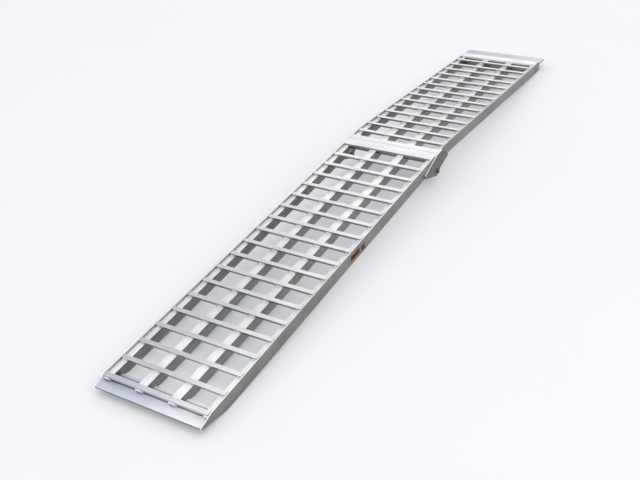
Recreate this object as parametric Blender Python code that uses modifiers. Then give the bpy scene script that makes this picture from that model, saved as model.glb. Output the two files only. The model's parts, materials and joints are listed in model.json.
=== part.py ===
"""Folding motorcycle ramp: two aluminium ladder sections joined under the deck.

The ramp stands unfolded on the floor as a shallow arch. Each section is built
in its own frame: X across the ramp, Y up the ramp, Z square to the deck, with
Z = 0 on the tops of the rails. An empty carries each section, and the upper
section's empty lies on the hinge axis. All sizes are in metres.
"""

import math

import bmesh
import bpy
from mathutils import Matrix, Vector

# Clearances
SEAT_GAP = 0.0003

# Rails: every rail is an extruded box, and each side rail has a tall outer web
RAIL_DEPTH = 0.030
RAIL_WALL = 0.0025
OVERALL_WIDTH = 0.308
WEB_THICKNESS = 0.0032
LIP_HEIGHT = 0.008
SIDE_BOX_WIDTH = 0.0168
INNER_RAIL_WIDTH = 0.0238
INNER_RAIL_OFFSET = 0.0478

# Rungs: a hollow tread with two grooves along its top
RUNG_WIDTH = 0.0127
RUNG_HEIGHT = 0.0075
RUNG_WALL = 0.0014
RUNG_CORNER = 0.0009
TREAD_GROOVE_WIDTH = 0.0018
TREAD_GROOVE_DEPTH = 0.0006
TREAD_GROOVE_OFFSET = 0.0021

# Lower section, measured up the ramp from the toe's tip
LOWER_RUNGS = 18
LOWER_LENGTH = 1.222
FIRST_LOWER_RUNG = 0.0385
LAST_LOWER_SETBACK = 0.064
LOWER_BEAM_WIDTH = 0.040
HINGE_BEAM_HEIGHT = 0.016
BEAM_WALL = 0.0025
BEAM_CORNER = 0.0015

# Toe: a flat bar on the bevelled ends of the rails
TOE_ANGLE = math.radians(13.7)
TOE_BAR_WIDTH = 0.0762
TOE_BAR_THICKNESS = 0.0048
TOE_TIP_DEPTH = 0.007
RAIL_SETBACK = 0.0345
NOSE_LIP_HEIGHT = 0.0006

# Upper section, measured up the ramp from the joint between the sections
UPPER_RUNGS = 14
FIRST_UPPER_RUNG = 0.0627
LAST_UPPER_SETBACK = 0.0458
UPPER_BEAM_WIDTH = 0.024
BEND_START = 0.035
BEND_LENGTH = 0.070
BEND_ANGLE = math.radians(7.0)
BEND_STEPS = 8
END_BEAM_START = 0.934
END_BEAM_SIZE = 0.038
WEB_OVERHANG = 0.015
WEB_END_RADIUS = 0.006

# Lip plate at the top end, and the bar that backs it
LIP_PLATE_REACH = 0.0635
LIP_PLATE_THICKNESS = 0.0048
LIP_PLATE_WIDTH = 0.314
LIP_PLATE_TOP = 0.003
LIP_PLATE_CORNER = 0.008

# Hinge under the deck
PIVOT_SETBACK = 0.009
PIVOT_DEPTH = 0.048
CHEEK_THICKNESS = 0.0045
CHEEK_TIP_RADIUS = 0.013
CHEEK_TOE_REACH = 0.098
CHEEK_TOP_REACH = 0.080
CHEEK_TOP_START = 0.009
CHEEK_TOP_END = 0.030
CHEEK_TOE_DEPTH = 0.019
LUG_THICKNESS = 0.0048
LOWER_LUG_REACH = 0.086
UPPER_LUG_REACH = 0.072

# Pivot bolts with their washers and nuts
BOLT_RADIUS = 0.004
BOLT_HEAD_RADIUS = 0.007
BOLT_HEAD_HEIGHT = 0.0036
SOCKET_RADIUS = 0.0026
SOCKET_DEPTH = 0.002
BOLT_TAIL = 0.0015
WASHER_RADIUS = 0.009
WASHER_THICKNESS = 0.001
NUT_RADIUS = 0.0075
NUT_HEIGHT = 0.004
ROUND_STEPS = 24
SMOOTH_ANGLE = math.radians(35)

# Cutters run this far past the faces that they cut
CUT_PAST = 0.010

# Values that follow from those above
HALF_WIDTH = OVERALL_WIDTH / 2
WEB_INNER = HALF_WIDTH - WEB_THICKNESS
SIDE_BOX_INNER = WEB_INNER - SIDE_BOX_WIDTH
CLEAR_WIDTH = 2 * WEB_INNER
SPAN = CLEAR_WIDTH - 2 * SEAT_GAP
BEAM_TOP = LIP_HEIGHT
BEAM_BOTTOM = BEAM_TOP - HINGE_BEAM_HEIGHT
BEAM_START = LOWER_LENGTH - LOWER_BEAM_WIDTH
LOWER_PITCH = (BEAM_START - LAST_LOWER_SETBACK - FIRST_LOWER_RUNG) / (LOWER_RUNGS - 1)
UPPER_PITCH = (END_BEAM_START - LAST_UPPER_SETBACK - FIRST_UPPER_RUNG) / (UPPER_RUNGS - 1)
PIVOT = Vector((0, LOWER_LENGTH - PIVOT_SETBACK, -PIVOT_DEPTH))
TOE_ALONG = Vector((0, math.cos(TOE_ANGLE), -math.sin(TOE_ANGLE)))
TOE_NORMAL = Vector((0, math.sin(TOE_ANGLE), math.cos(TOE_ANGLE)))
TOE_TIP = Vector((0, 0, -TOE_TIP_DEPTH))
END_BEAM_END = END_BEAM_START + END_BEAM_SIZE
LIP_REST = LIP_PLATE_TOP - LIP_PLATE_THICKNESS
RAIL_UNDERSIDE = -RAIL_DEPTH - SEAT_GAP
CHEEK_INNER = HALF_WIDTH + SEAT_GAP
LOWER_LUG_OUTER = HALF_WIDTH
LOWER_LUG_INNER = LOWER_LUG_OUTER - LUG_THICKNESS
WASHER_OUTER = LOWER_LUG_INNER - SEAT_GAP
WASHER_INNER = WASHER_OUTER - WASHER_THICKNESS
UPPER_LUG_OUTER = WASHER_INNER - SEAT_GAP
UPPER_LUG_INNER = UPPER_LUG_OUTER - LUG_THICKNESS
NUT_OUTER = UPPER_LUG_INNER - SEAT_GAP
NUT_INNER = NUT_OUTER - NUT_HEIGHT

parts = bpy.data.collections.new("folding_motorcycle_ramp")
cutters = bpy.data.collections.new("cutters")


# Scene and materials

def clear_scene():
    """Remove every object that the file opened with."""
    for scene_object in list(bpy.data.objects):
        bpy.data.objects.remove(scene_object, do_unlink=True)
    bpy.context.scene.collection.children.link(parts)
    bpy.context.scene.collection.children.link(cutters)


def finish(name, colour, roughness, metallic):
    """A Principled material of one colour."""
    material = bpy.data.materials.new(name)
    material.use_nodes = True
    shader = material.node_tree.nodes["Principled BSDF"]
    shader.inputs["Base Color"].default_value = (*colour, 1.0)
    shader.inputs["Roughness"].default_value = roughness
    shader.inputs["Metallic"].default_value = metallic
    material.diffuse_color = (*colour, 1.0)
    return material


# Outlines

def along_upper(distance, height=0.0):
    """A point of the upper section, whose rails bend down a little way past the joint."""
    radius = BEND_LENGTH / BEND_ANGLE
    bent = min(max(distance - BEND_START, 0.0), BEND_LENGTH)
    angle = bent / radius
    y = min(distance, BEND_START) + radius * math.sin(angle)
    z = -radius * (1 - math.cos(angle))
    straight = max(distance - BEND_START - BEND_LENGTH, 0.0)
    y += straight * math.cos(angle) + height * math.sin(angle)
    z += height * math.cos(angle) - straight * math.sin(angle)
    return Vector((0, LOWER_LENGTH + y, z))


def upper_angle(distance):
    """How far the upper section has bent down at a distance from the joint."""
    bent = min(max(distance - BEND_START, 0.0), BEND_LENGTH)
    return BEND_ANGLE * bent / BEND_LENGTH


def upper_line(start, end, height):
    """The points of a line along the upper section at one height, round its bend."""
    bend = [BEND_START + BEND_LENGTH * step / BEND_STEPS for step in range(BEND_STEPS + 1)]
    stations = [start] + [d for d in bend if start < d < end] + [end]
    return [along_upper(d, height) for d in stations]


def rounded(corners, steps=4):
    """An outline of (y, z, radius) corners, each rounded by an arc of its radius."""
    outline = []
    count = len(corners)
    for index, (y, z, radius) in enumerate(corners):
        here = Vector((y, z))
        if radius <= 0:
            outline.append(here)
            continue
        before = (Vector(corners[index - 1][:2]) - here).normalized()
        after = (Vector(corners[(index + 1) % count][:2]) - here).normalized()
        half = before.angle(after) / 2
        centre = here + (before + after).normalized() * radius / math.sin(half)
        start = here + before * radius / math.tan(half) - centre
        turn = math.pi - 2 * half
        if before.x * after.y - before.y * after.x > 0:
            turn = -turn
        for step in range(steps + 1):
            spun = Matrix.Rotation(turn * step / steps, 2) @ start
            outline.append(centre + spun)
    return [Vector((0, point.x, point.y)) for point in outline]


# Modelling helpers

def flat_solid(name, outline, low_x, high_x, collection=parts):
    """A flat plate: an outline in the YZ plane, extruded from low_x to high_x."""
    curve = bpy.data.curves.new(name + "_outline", "CURVE")
    curve.dimensions = "2D"
    curve.fill_mode = "BOTH"
    curve.extrude = (high_x - low_x) / 2
    curve.resolution_u = 1
    spline = curve.splines.new("POLY")
    spline.points.add(len(outline) - 1)
    for spline_point, point in zip(spline.points, outline):
        spline_point.co = (point.y, point.z, 0, 1)
    spline.use_cyclic_u = True
    sketch = bpy.data.objects.new(name + "_sketch", curve)
    sketch.matrix_world = (
        Matrix.Translation(((low_x + high_x) / 2, 0, 0))
        @ Matrix(((0, 0, 1, 0), (1, 0, 0, 0), (0, 1, 0, 0), (0, 0, 0, 1)))
    )
    bpy.context.scene.collection.objects.link(sketch)
    bpy.context.view_layer.update()
    mesh = bpy.data.meshes.new_from_object(sketch.evaluated_get(bpy.context.evaluated_depsgraph_get()))
    mesh.transform(sketch.matrix_world)
    bpy.data.objects.remove(sketch, do_unlink=True)
    clean(mesh)
    mesh.name = name
    solid = bpy.data.objects.new(name, mesh)
    collection.objects.link(solid)
    return solid


def clean(mesh):
    """Weld loose caps, point every face outwards and shade flat faces flat."""
    shape = bmesh.new()
    shape.from_mesh(mesh)
    bmesh.ops.remove_doubles(shape, verts=shape.verts, dist=0.00001)
    bmesh.ops.recalc_face_normals(shape, faces=shape.faces)
    shape.to_mesh(mesh)
    shape.free()
    mesh.shade_smooth()
    mesh.set_sharp_from_angle(angle=SMOOTH_ANGLE)


def rod(name, radius, low_x, high_x, centre, collection=cutters, sides=ROUND_STEPS):
    """A cylinder along X."""
    bpy.ops.mesh.primitive_cylinder_add(vertices=sides, radius=radius, depth=high_x - low_x)
    cylinder = bpy.context.object
    cylinder.name = name
    cylinder.data.transform(Matrix.Rotation(math.pi / 2, 4, "Y"))
    cylinder.data.transform(Matrix.Translation(((low_x + high_x) / 2, centre.y, centre.z)))
    for holder in list(cylinder.users_collection):
        holder.objects.unlink(cylinder)
    collection.objects.link(cylinder)
    return cylinder


def shape_with(target, tool, operation):
    """Cut or join one solid with another by an exact Boolean, and keep the result."""
    modifier = target.modifiers.new(operation.lower(), "BOOLEAN")
    modifier.operation = operation
    modifier.solver = "EXACT"
    modifier.object = tool
    bpy.context.view_layer.update()
    result = target.evaluated_get(bpy.context.evaluated_depsgraph_get())
    mesh = bpy.data.meshes.new_from_object(result)
    target.modifiers.remove(modifier)
    clean(mesh)
    mesh.name = target.name
    target.data = mesh
    tool.hide_render = True
    tool.display_type = "WIRE"
    if tool.name not in cutters.objects:
        for holder in list(tool.users_collection):
            holder.objects.unlink(tool)
        cutters.objects.link(tool)


def mirrored_name(stem, side):
    """The left piece lies at -X and the right piece at +X."""
    return f"{stem}_{'left' if side < 0 else 'right'}"


def span_between(side, inner, outer):
    """The low and high X of a piece that lies between two distances from the middle."""
    return (inner, outer) if side > 0 else (-outer, -inner)


def place(piece, material, frame, origin=Vector((0, 0, 0))):
    """Give a piece its finish, move its origin, and hang it on its section."""
    piece.data.transform(Matrix.Translation(-origin))
    piece.data.materials.clear()
    piece.data.materials.append(material)
    piece.parent = frame
    piece.location = origin - frame_origin[frame.name]


# Lower section

def toe_line(y, above=0.0):
    """Height of the toe's underside at a distance from the tip, or of a line above it."""
    return -TOE_TIP_DEPTH - y * math.tan(TOE_ANGLE) + above / math.cos(TOE_ANGLE)


def lower_box_top():
    """Corners along a lower rail's box, from behind the toe bar to the joint."""
    bar_top = TOE_BAR_THICKNESS + SEAT_GAP
    bar_end = TOE_BAR_WIDTH * math.cos(TOE_ANGLE) + TOE_BAR_THICKNESS * math.sin(TOE_ANGLE) + SEAT_GAP
    notch = BEAM_START - SEAT_GAP
    return [
        (bar_end, toe_line(bar_end, bar_top)),
        (RAIL_SETBACK, toe_line(RAIL_SETBACK, bar_top)),
        (RAIL_SETBACK, 0),
        (notch, 0),
        (notch, BEAM_BOTTOM - SEAT_GAP),
    ]


def lower_rail_outline():
    """Side view of a lower inner rail: bevelled on the toe bar, notched for the end beam."""
    top = lower_box_top()
    heel = (RAIL_DEPTH - TOE_TIP_DEPTH) / math.tan(TOE_ANGLE)
    corners = [
        (heel, -RAIL_DEPTH),
        (top[0][0], toe_line(top[0][0])),
        *top,
        (LOWER_LENGTH, BEAM_BOTTOM - SEAT_GAP),
        (LOWER_LENGTH, -RAIL_DEPTH),
    ]
    return [Vector((0, y, z)) for y, z in corners]


def over_lower_box():
    """Side view of what is cut away over and ahead of a lower side rail's box."""
    top = lower_box_top()
    end = LOWER_LENGTH + CUT_PAST
    corners = [
        (-CUT_PAST, toe_line(-CUT_PAST) - CUT_PAST),
        (top[0][0], toe_line(top[0][0]) - CUT_PAST),
        *top,
        (end, BEAM_BOTTOM - SEAT_GAP),
        (end, LIP_HEIGHT + CUT_PAST),
        (-CUT_PAST, LIP_HEIGHT + CUT_PAST),
    ]
    return [Vector((0, y, z)) for y, z in corners]


def lower_web_outline():
    """Side view of a lower side rail's web, with its nose at the toe and its lip above."""
    heel = (RAIL_DEPTH - TOE_TIP_DEPTH) / math.tan(TOE_ANGLE)
    return rounded([
        (0, -TOE_TIP_DEPTH, 0.0015),
        (heel, -RAIL_DEPTH, 0.012),
        (LOWER_LENGTH, -RAIL_DEPTH, 0),
        (LOWER_LENGTH, LIP_HEIGHT, 0),
        (FIRST_LOWER_RUNG, LIP_HEIGHT, 0.012),
        (0, NOSE_LIP_HEIGHT - TOE_BAR_THICKNESS / 2, 0.0015),
    ])


def box_rail(name, outline, low_x, high_x, cavity_outline):
    """An extruded box rail with open ends."""
    rail = flat_solid(name, outline, low_x, high_x)
    cavity = flat_solid(name + "_cavity", cavity_outline, low_x + RAIL_WALL, high_x - RAIL_WALL, cutters)
    shape_with(rail, cavity, "DIFFERENCE")
    return rail


def side_rail(name, side, web_outline, over_box_outline, cavity_outline):
    """A side rail, box and web in one extrusion, cut away over and beyond its box."""
    low, high = span_between(side, SIDE_BOX_INNER, HALF_WIDTH)
    cut_low, cut_high = span_between(side, SIDE_BOX_INNER - CUT_PAST, WEB_INNER)
    hollow_low, hollow_high = span_between(side, SIDE_BOX_INNER + RAIL_WALL, WEB_INNER)
    rail = flat_solid(name, web_outline, low, high)
    over_box = flat_solid(name + "_over_box", over_box_outline, cut_low, cut_high, cutters)
    shape_with(rail, over_box, "DIFFERENCE")
    hollow = flat_solid(name + "_hollow", cavity_outline, hollow_low, hollow_high, cutters)
    shape_with(rail, hollow, "DIFFERENCE")
    return rail


def lower_rails():
    """The four rails of the lower section."""
    cavity = [
        Vector((0, y, z))
        for y, z in (
            (-CUT_PAST, -RAIL_WALL),
            (-CUT_PAST, RAIL_WALL - RAIL_DEPTH),
            (LOWER_LENGTH + CUT_PAST, RAIL_WALL - RAIL_DEPTH),
            (LOWER_LENGTH + CUT_PAST, -RAIL_WALL),
        )
    ]
    for side in (-1, 1):
        name = mirrored_name("lower_side_rail", side)
        rail = side_rail(name, side, lower_web_outline(), over_lower_box(), cavity)
        place(rail, MILL_ALUMINIUM, lower_frame, Vector((side * HALF_WIDTH, 0, 0)))
        centre = side * INNER_RAIL_OFFSET
        name = mirrored_name("lower_inner_rail", side)
        half = INNER_RAIL_WIDTH / 2
        rail = box_rail(name, lower_rail_outline(), centre - half, centre + half, cavity)
        place(rail, MILL_ALUMINIUM, lower_frame, Vector((centre, 0, 0)))


def toe_bar():
    """The flat bar that leads the wheel onto the ramp."""
    front = TOE_TIP
    rear = front + TOE_ALONG * TOE_BAR_WIDTH
    raised = TOE_NORMAL * TOE_BAR_THICKNESS
    edge = 0.0012
    bar = flat_solid("toe_bar", rounded([
        (front.y, front.z, edge),
        (rear.y, rear.z, 0),
        ((rear + raised).y, (rear + raised).z, 0),
        ((front + raised).y, (front + raised).z, edge),
    ]), -SPAN / 2, SPAN / 2)
    place(bar, BRIGHT_ALUMINIUM, lower_frame, front)


def box_beam(name, start, width, bottom, top):
    """A hollow cross beam with open ends, placed by its near edge."""
    beam = flat_solid(name, rounded([
        (start, bottom, BEAM_CORNER),
        (start + width, bottom, BEAM_CORNER),
        (start + width, top, BEAM_CORNER),
        (start, top, BEAM_CORNER),
    ], steps=2), -SPAN / 2, SPAN / 2)
    hollow = [
        Vector((0, y, z))
        for y, z in (
            (start + BEAM_WALL, bottom + BEAM_WALL),
            (start + width - BEAM_WALL, bottom + BEAM_WALL),
            (start + width - BEAM_WALL, top - BEAM_WALL),
            (start + BEAM_WALL, top - BEAM_WALL),
        )
    ]
    cavity = flat_solid(name + "_cavity", hollow, -CLEAR_WIDTH, CLEAR_WIDTH, cutters)
    shape_with(beam, cavity, "DIFFERENCE")
    return beam


def hinge_plate(name, outline, low_x, high_x, frame):
    """One plate of the hinge, bored for the pivot bolt."""
    plate = flat_solid(name, outline, low_x, high_x)
    bore = rod(name + "_bore", BOLT_RADIUS + SEAT_GAP, low_x - CUT_PAST, high_x + CUT_PAST, PIVOT)
    shape_with(plate, bore, "DIFFERENCE")
    place(plate, MILL_ALUMINIUM, frame, Vector(((low_x + high_x) / 2, PIVOT.y, PIVOT.z)))


def lower_lugs():
    """The lower section's lugs, which hang from the undersides of its side rails."""
    tip = PIVOT.z - CHEEK_TIP_RADIUS
    outline = rounded([
        (LOWER_LENGTH - LOWER_LUG_REACH, RAIL_UNDERSIDE, 0),
        (PIVOT.y - CHEEK_TIP_RADIUS * 0.9, tip + 0.001, CHEEK_TIP_RADIUS * 0.7),
        (PIVOT.y + CHEEK_TIP_RADIUS * 0.8, tip + 0.001, CHEEK_TIP_RADIUS * 0.8),
        (PIVOT.y + CHEEK_TIP_RADIUS, PIVOT.z + CHEEK_TIP_RADIUS * 0.3, 0.004),
        (LOWER_LENGTH, RAIL_UNDERSIDE, 0),
    ], steps=5)
    for side in (-1, 1):
        low, high = span_between(side, LOWER_LUG_INNER, LOWER_LUG_OUTER)
        hinge_plate(mirrored_name("lower_hinge_lug", side), outline, low, high, lower_frame)


# Rungs

def tread():
    """The rung's extrusion, with its middle at the origin and its underside at Z = 0."""
    half = RUNG_WIDTH / 2
    groove = TREAD_GROOVE_WIDTH / 2
    floor = RUNG_HEIGHT - TREAD_GROOVE_DEPTH
    corners = [(-half, 0, RUNG_CORNER), (half, 0, RUNG_CORNER), (half, RUNG_HEIGHT, RUNG_CORNER)]
    for centre in (TREAD_GROOVE_OFFSET, -TREAD_GROOVE_OFFSET):
        corners += [
            (centre + groove, RUNG_HEIGHT, 0),
            (centre + groove, floor, 0),
            (centre - groove, floor, 0),
            (centre - groove, RUNG_HEIGHT, 0),
        ]
    corners.append((-half, RUNG_HEIGHT, RUNG_CORNER))
    solid = flat_solid("tread_pattern", rounded(corners, steps=1), -SPAN / 2, SPAN / 2, cutters)
    hollow = [
        Vector((0, y, z))
        for y, z in (
            (RUNG_WALL - half, RUNG_WALL),
            (half - RUNG_WALL, RUNG_WALL),
            (half - RUNG_WALL, floor - RUNG_WALL),
            (RUNG_WALL - half, floor - RUNG_WALL),
        )
    ]
    cavity = flat_solid("tread_cavity", hollow, -CLEAR_WIDTH, CLEAR_WIDTH, cutters)
    shape_with(solid, cavity, "DIFFERENCE")
    solid.hide_render = True
    solid.display_type = "WIRE"
    solid.data.materials.append(TREAD_ALUMINIUM)
    return solid.data


def rung(name, mesh, frame, seat, tilt):
    """One rung, seated across the rails at a point of the deck."""
    step = bpy.data.objects.new(name, mesh)
    parts.objects.link(step)
    step.parent = frame
    step.rotation_euler = (-tilt, 0, 0)
    lift = Vector((0, math.sin(tilt), math.cos(tilt))) * SEAT_GAP
    step.location = seat + lift - frame_origin[frame.name]


def rungs():
    """Every rung of both sections."""
    mesh = tread()
    for index in range(LOWER_RUNGS):
        seat = Vector((0, FIRST_LOWER_RUNG + index * LOWER_PITCH, 0))
        rung(f"lower_rung_{index + 1:02d}", mesh, lower_frame, seat, 0.0)
    for index in range(UPPER_RUNGS):
        distance = FIRST_UPPER_RUNG + index * UPPER_PITCH
        seat = along_upper(distance)
        rung(f"upper_rung_{index + 1:02d}", mesh, upper_frame, seat, upper_angle(distance))


# Upper section

def upper_box_top(start):
    """The line along an upper rail's box, from its far end back to a start at the joint."""
    notch = UPPER_BEAM_WIDTH + 2 * SEAT_GAP
    over = upper_line(notch, END_BEAM_START - SEAT_GAP, 0)
    step = [along_upper(d, BEAM_BOTTOM - SEAT_GAP) for d in (notch, start)]
    return over[::-1] + step


def upper_rail_outline():
    """Side view of an upper inner rail, notched for the hinge beam at its lower end."""
    under = upper_line(SEAT_GAP, END_BEAM_START - SEAT_GAP, -RAIL_DEPTH)
    return under + upper_box_top(SEAT_GAP)


def over_upper_box():
    """Side view of what is cut away over and beyond an upper side rail's box."""
    end = END_BEAM_END + WEB_OVERHANG + CUT_PAST
    under = -RAIL_DEPTH - CUT_PAST
    over = upper_line(-CUT_PAST, end, LIP_HEIGHT + CUT_PAST)
    beyond = [along_upper(end, under), along_upper(END_BEAM_START - SEAT_GAP, under)]
    return over + beyond + upper_box_top(-CUT_PAST)


def upper_web_outline():
    """Side view of an upper side rail's web, with its lip and its rounded top end."""
    end = END_BEAM_END + WEB_OVERHANG
    under = upper_line(SEAT_GAP, END_BEAM_START, -RAIL_DEPTH)
    over = upper_line(SEAT_GAP, END_BEAM_START, LIP_HEIGHT)
    tip = [
        (end, -RAIL_DEPTH, WEB_END_RADIUS),
        (end, LIP_REST, 0.002),
        (END_BEAM_END - SEAT_GAP, LIP_REST, 0),
        (END_BEAM_END - SEAT_GAP, LIP_HEIGHT, WEB_END_RADIUS / 2),
    ]
    outlined = rounded([(END_BEAM_START, -RAIL_DEPTH, 0), *tip, (END_BEAM_START, LIP_HEIGHT, 0)])
    ends = [along_upper(point.y, point.z) for point in outlined[1:-1]]
    return under + ends + over[::-1]


def upper_cavity_outline():
    """Side view of the hollow in an upper rail, running out past both of its ends."""
    end = END_BEAM_START + CUT_PAST
    lower_side = upper_line(-CUT_PAST, end, RAIL_WALL - RAIL_DEPTH)
    upper_side = upper_line(-CUT_PAST, end, -RAIL_WALL)
    return lower_side + upper_side[::-1]


def upper_rails():
    """The four rails of the upper section, bent where the arch turns."""
    cavity = upper_cavity_outline()
    start = Vector((0, LOWER_LENGTH, 0))
    for side in (-1, 1):
        name = mirrored_name("upper_side_rail", side)
        rail = side_rail(name, side, upper_web_outline(), over_upper_box(), cavity)
        place(rail, MILL_ALUMINIUM, upper_frame, start + Vector((side * HALF_WIDTH, 0, 0)))
        centre = side * INNER_RAIL_OFFSET
        half = INNER_RAIL_WIDTH / 2
        name = mirrored_name("upper_inner_rail", side)
        rail = box_rail(name, upper_rail_outline(), centre - half, centre + half, cavity)
        place(rail, MILL_ALUMINIUM, upper_frame, start + Vector((centre, 0, 0)))


def bend_onto_upper(piece, distance):
    """Turn a piece built flat beside the joint's deck so that it lies on the bent deck."""
    turn = Matrix.Rotation(-upper_angle(distance), 4, "X")
    seat = along_upper(distance)
    piece.data.transform(Matrix.Translation(seat) @ turn @ Matrix.Translation((0, -distance, 0)))
    return seat


def top_end():
    """The end beam, the bar behind it, and the lip plate that reaches over the tailgate."""
    beam = box_beam("top_end_beam", END_BEAM_START, END_BEAM_SIZE, BEAM_TOP - END_BEAM_SIZE, BEAM_TOP)
    seat = bend_onto_upper(beam, END_BEAM_START)
    place(beam, MILL_ALUMINIUM, upper_frame, seat)

    behind = END_BEAM_END + SEAT_GAP
    bar = flat_solid("lip_backing_bar", rounded([
        (behind, -RAIL_DEPTH, 0),
        (behind + LIP_PLATE_THICKNESS, -RAIL_DEPTH, 0.001),
        (behind + LIP_PLATE_THICKNESS, LIP_REST, 0),
        (behind, LIP_REST, 0),
    ]), -SPAN / 2, SPAN / 2)
    bend_onto_upper(bar, behind)
    place(bar, MILL_ALUMINIUM, upper_frame, along_upper(behind))

    plate = lip_plate(behind)
    bend_onto_upper(plate, behind)
    place(plate, BRIGHT_ALUMINIUM, upper_frame, along_upper(behind))


def lip_plate(behind):
    """The flat lip plate: relieved over the bar and the webs, and rounded at its free corners."""
    half = LIP_PLATE_WIDTH / 2
    end = behind + LIP_PLATE_REACH
    free = END_BEAM_END + WEB_OVERHANG + SEAT_GAP
    plate = flat_solid("lip_plate", [
        Vector((0, y, z))
        for y, z in (
            (behind, LIP_REST + SEAT_GAP),
            (free, LIP_REST + SEAT_GAP),
            (free, LIP_REST),
            (end, LIP_REST),
            (end, LIP_PLATE_TOP),
            (behind, LIP_PLATE_TOP),
        )
    ], -half, half)
    shape = bmesh.new()
    shape.from_mesh(plate.data)
    free_corners = [
        edge for edge in shape.edges
        if all(vertex.co.y > end - LIP_PLATE_CORNER for vertex in edge.verts)
        and abs(edge.verts[0].co.x - edge.verts[1].co.x) < LIP_PLATE_CORNER
    ]
    bmesh.ops.bevel(shape, geom=free_corners, offset=LIP_PLATE_CORNER, segments=5,
                    affect="EDGES", profile=0.5)
    shape.to_mesh(plate.data)
    shape.free()
    clean(plate.data)
    return plate


def hinge_cheeks():
    """The upper section's cheeks, outside its side rails, that lap the lower section."""
    tip = PIVOT.z - CHEEK_TIP_RADIUS
    toe_end = LOWER_LENGTH - CHEEK_TOE_REACH
    outline = rounded([
        (LOWER_LENGTH - CHEEK_TOP_START, LIP_HEIGHT, 0.004),
        (toe_end, -CHEEK_TOE_DEPTH, 0.005),
        (toe_end + 0.004, -RAIL_DEPTH, 0.005),
        (PIVOT.y - CHEEK_TIP_RADIUS * 0.9, tip + 0.001, CHEEK_TIP_RADIUS * 0.7),
        (PIVOT.y + CHEEK_TIP_RADIUS * 0.75, tip + 0.001, CHEEK_TIP_RADIUS * 0.8),
        (PIVOT.y + CHEEK_TIP_RADIUS * 1.4, PIVOT.z + 0.001, CHEEK_TIP_RADIUS * 0.8),
        (LOWER_LENGTH + CHEEK_TOP_REACH, -RAIL_DEPTH - 0.002, 0.006),
        (LOWER_LENGTH + CHEEK_TOP_END, LIP_HEIGHT, 0.006),
    ], steps=5)
    for side in (-1, 1):
        low, high = span_between(side, CHEEK_INNER, CHEEK_INNER + CHEEK_THICKNESS)
        hinge_plate(mirrored_name("hinge_cheek", side), outline, low, high, upper_frame)


def upper_lugs():
    """The upper section's lugs, which hang from its side rails inside the lower lugs."""
    tip = PIVOT.z - CHEEK_TIP_RADIUS
    under = upper_line(SEAT_GAP, UPPER_LUG_REACH, RAIL_UNDERSIDE)
    outline = rounded([
        *((point.y, point.z, 0) for point in reversed(under)),
        (PIVOT.y - CHEEK_TIP_RADIUS * 0.7, PIVOT.z + CHEEK_TIP_RADIUS * 0.7, 0.006),
        (PIVOT.y - CHEEK_TIP_RADIUS, tip + 0.001, CHEEK_TIP_RADIUS * 0.9),
        (PIVOT.y + CHEEK_TIP_RADIUS * 0.75, tip + 0.001, CHEEK_TIP_RADIUS * 0.8),
        (PIVOT.y + CHEEK_TIP_RADIUS * 1.4, PIVOT.z + 0.001, CHEEK_TIP_RADIUS * 0.8),
    ], steps=5)
    for side in (-1, 1):
        low, high = span_between(side, UPPER_LUG_INNER, UPPER_LUG_OUTER)
        hinge_plate(mirrored_name("upper_hinge_lug", side), outline, low, high, upper_frame)


# Pivots

def turned(name, profile, side):
    """A turned piece on the pivot axis, from (distance from the middle, radius) points."""
    shape = bmesh.new()
    rims = [shape.verts.new((side * x, 0, radius)) for x, radius in profile]
    for first, second in zip(rims[:-1], rims[1:]):
        shape.edges.new((first, second))
    mesh = bpy.data.meshes.new(name)
    shape.to_mesh(mesh)
    shape.free()
    piece = bpy.data.objects.new(name, mesh)
    parts.objects.link(piece)
    screw = piece.modifiers.new("turn", "SCREW")
    screw.axis = "X"
    screw.steps = ROUND_STEPS
    screw.render_steps = ROUND_STEPS
    screw.use_merge_vertices = True
    screw.merge_threshold = 0.00001
    bpy.context.view_layer.update()
    spun = bpy.data.meshes.new_from_object(piece.evaluated_get(bpy.context.evaluated_depsgraph_get()))
    piece.modifiers.remove(screw)
    clean(spun)
    piece.data = spun
    return piece


def on_pivot(piece, material):
    """Hang a piece that was made round the pivot axis on that axis."""
    place(piece, material, upper_frame)
    piece.location = PIVOT - frame_origin[upper_frame.name]


def pivots():
    """A bolt, washer and nut on each side."""
    head_seat = CHEEK_INNER + CHEEK_THICKNESS + SEAT_GAP
    head_top = head_seat + BOLT_HEAD_HEIGHT
    tail = NUT_INNER - BOLT_TAIL
    bore = BOLT_RADIUS + SEAT_GAP
    for side in (-1, 1):
        bolt = turned(mirrored_name("pivot_bolt", side), [
            (head_top - SOCKET_DEPTH, 0),
            (head_top - SOCKET_DEPTH, SOCKET_RADIUS),
            (head_top, SOCKET_RADIUS),
            (head_top, BOLT_HEAD_RADIUS * 0.6),
            (head_top - BOLT_HEAD_HEIGHT * 0.25, BOLT_HEAD_RADIUS * 0.86),
            (head_top - BOLT_HEAD_HEIGHT * 0.6, BOLT_HEAD_RADIUS),
            (head_seat, BOLT_HEAD_RADIUS),
            (head_seat, BOLT_RADIUS),
            (tail + 0.001, BOLT_RADIUS),
            (tail, BOLT_RADIUS - 0.001),
            (tail, 0),
        ], side)
        on_pivot(bolt, DARK_STEEL)

        washer = turned(mirrored_name("pivot_washer", side), [
            (WASHER_OUTER, bore),
            (WASHER_OUTER, WASHER_RADIUS),
            (WASHER_INNER, WASHER_RADIUS),
            (WASHER_INNER, bore),
            (WASHER_OUTER, bore),
        ], side)
        on_pivot(washer, NYLON)

        low, high = span_between(side, NUT_INNER, NUT_OUTER)
        centre = Vector((0, 0, 0))
        nut = rod(mirrored_name("pivot_nut", side), NUT_RADIUS, low, high, centre, parts, sides=6)
        thread = rod(nut.name + "_thread", bore, low - CUT_PAST, high + CUT_PAST, centre)
        shape_with(nut, thread, "DIFFERENCE")
        on_pivot(nut, ZINC_STEEL)


# Build

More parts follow.
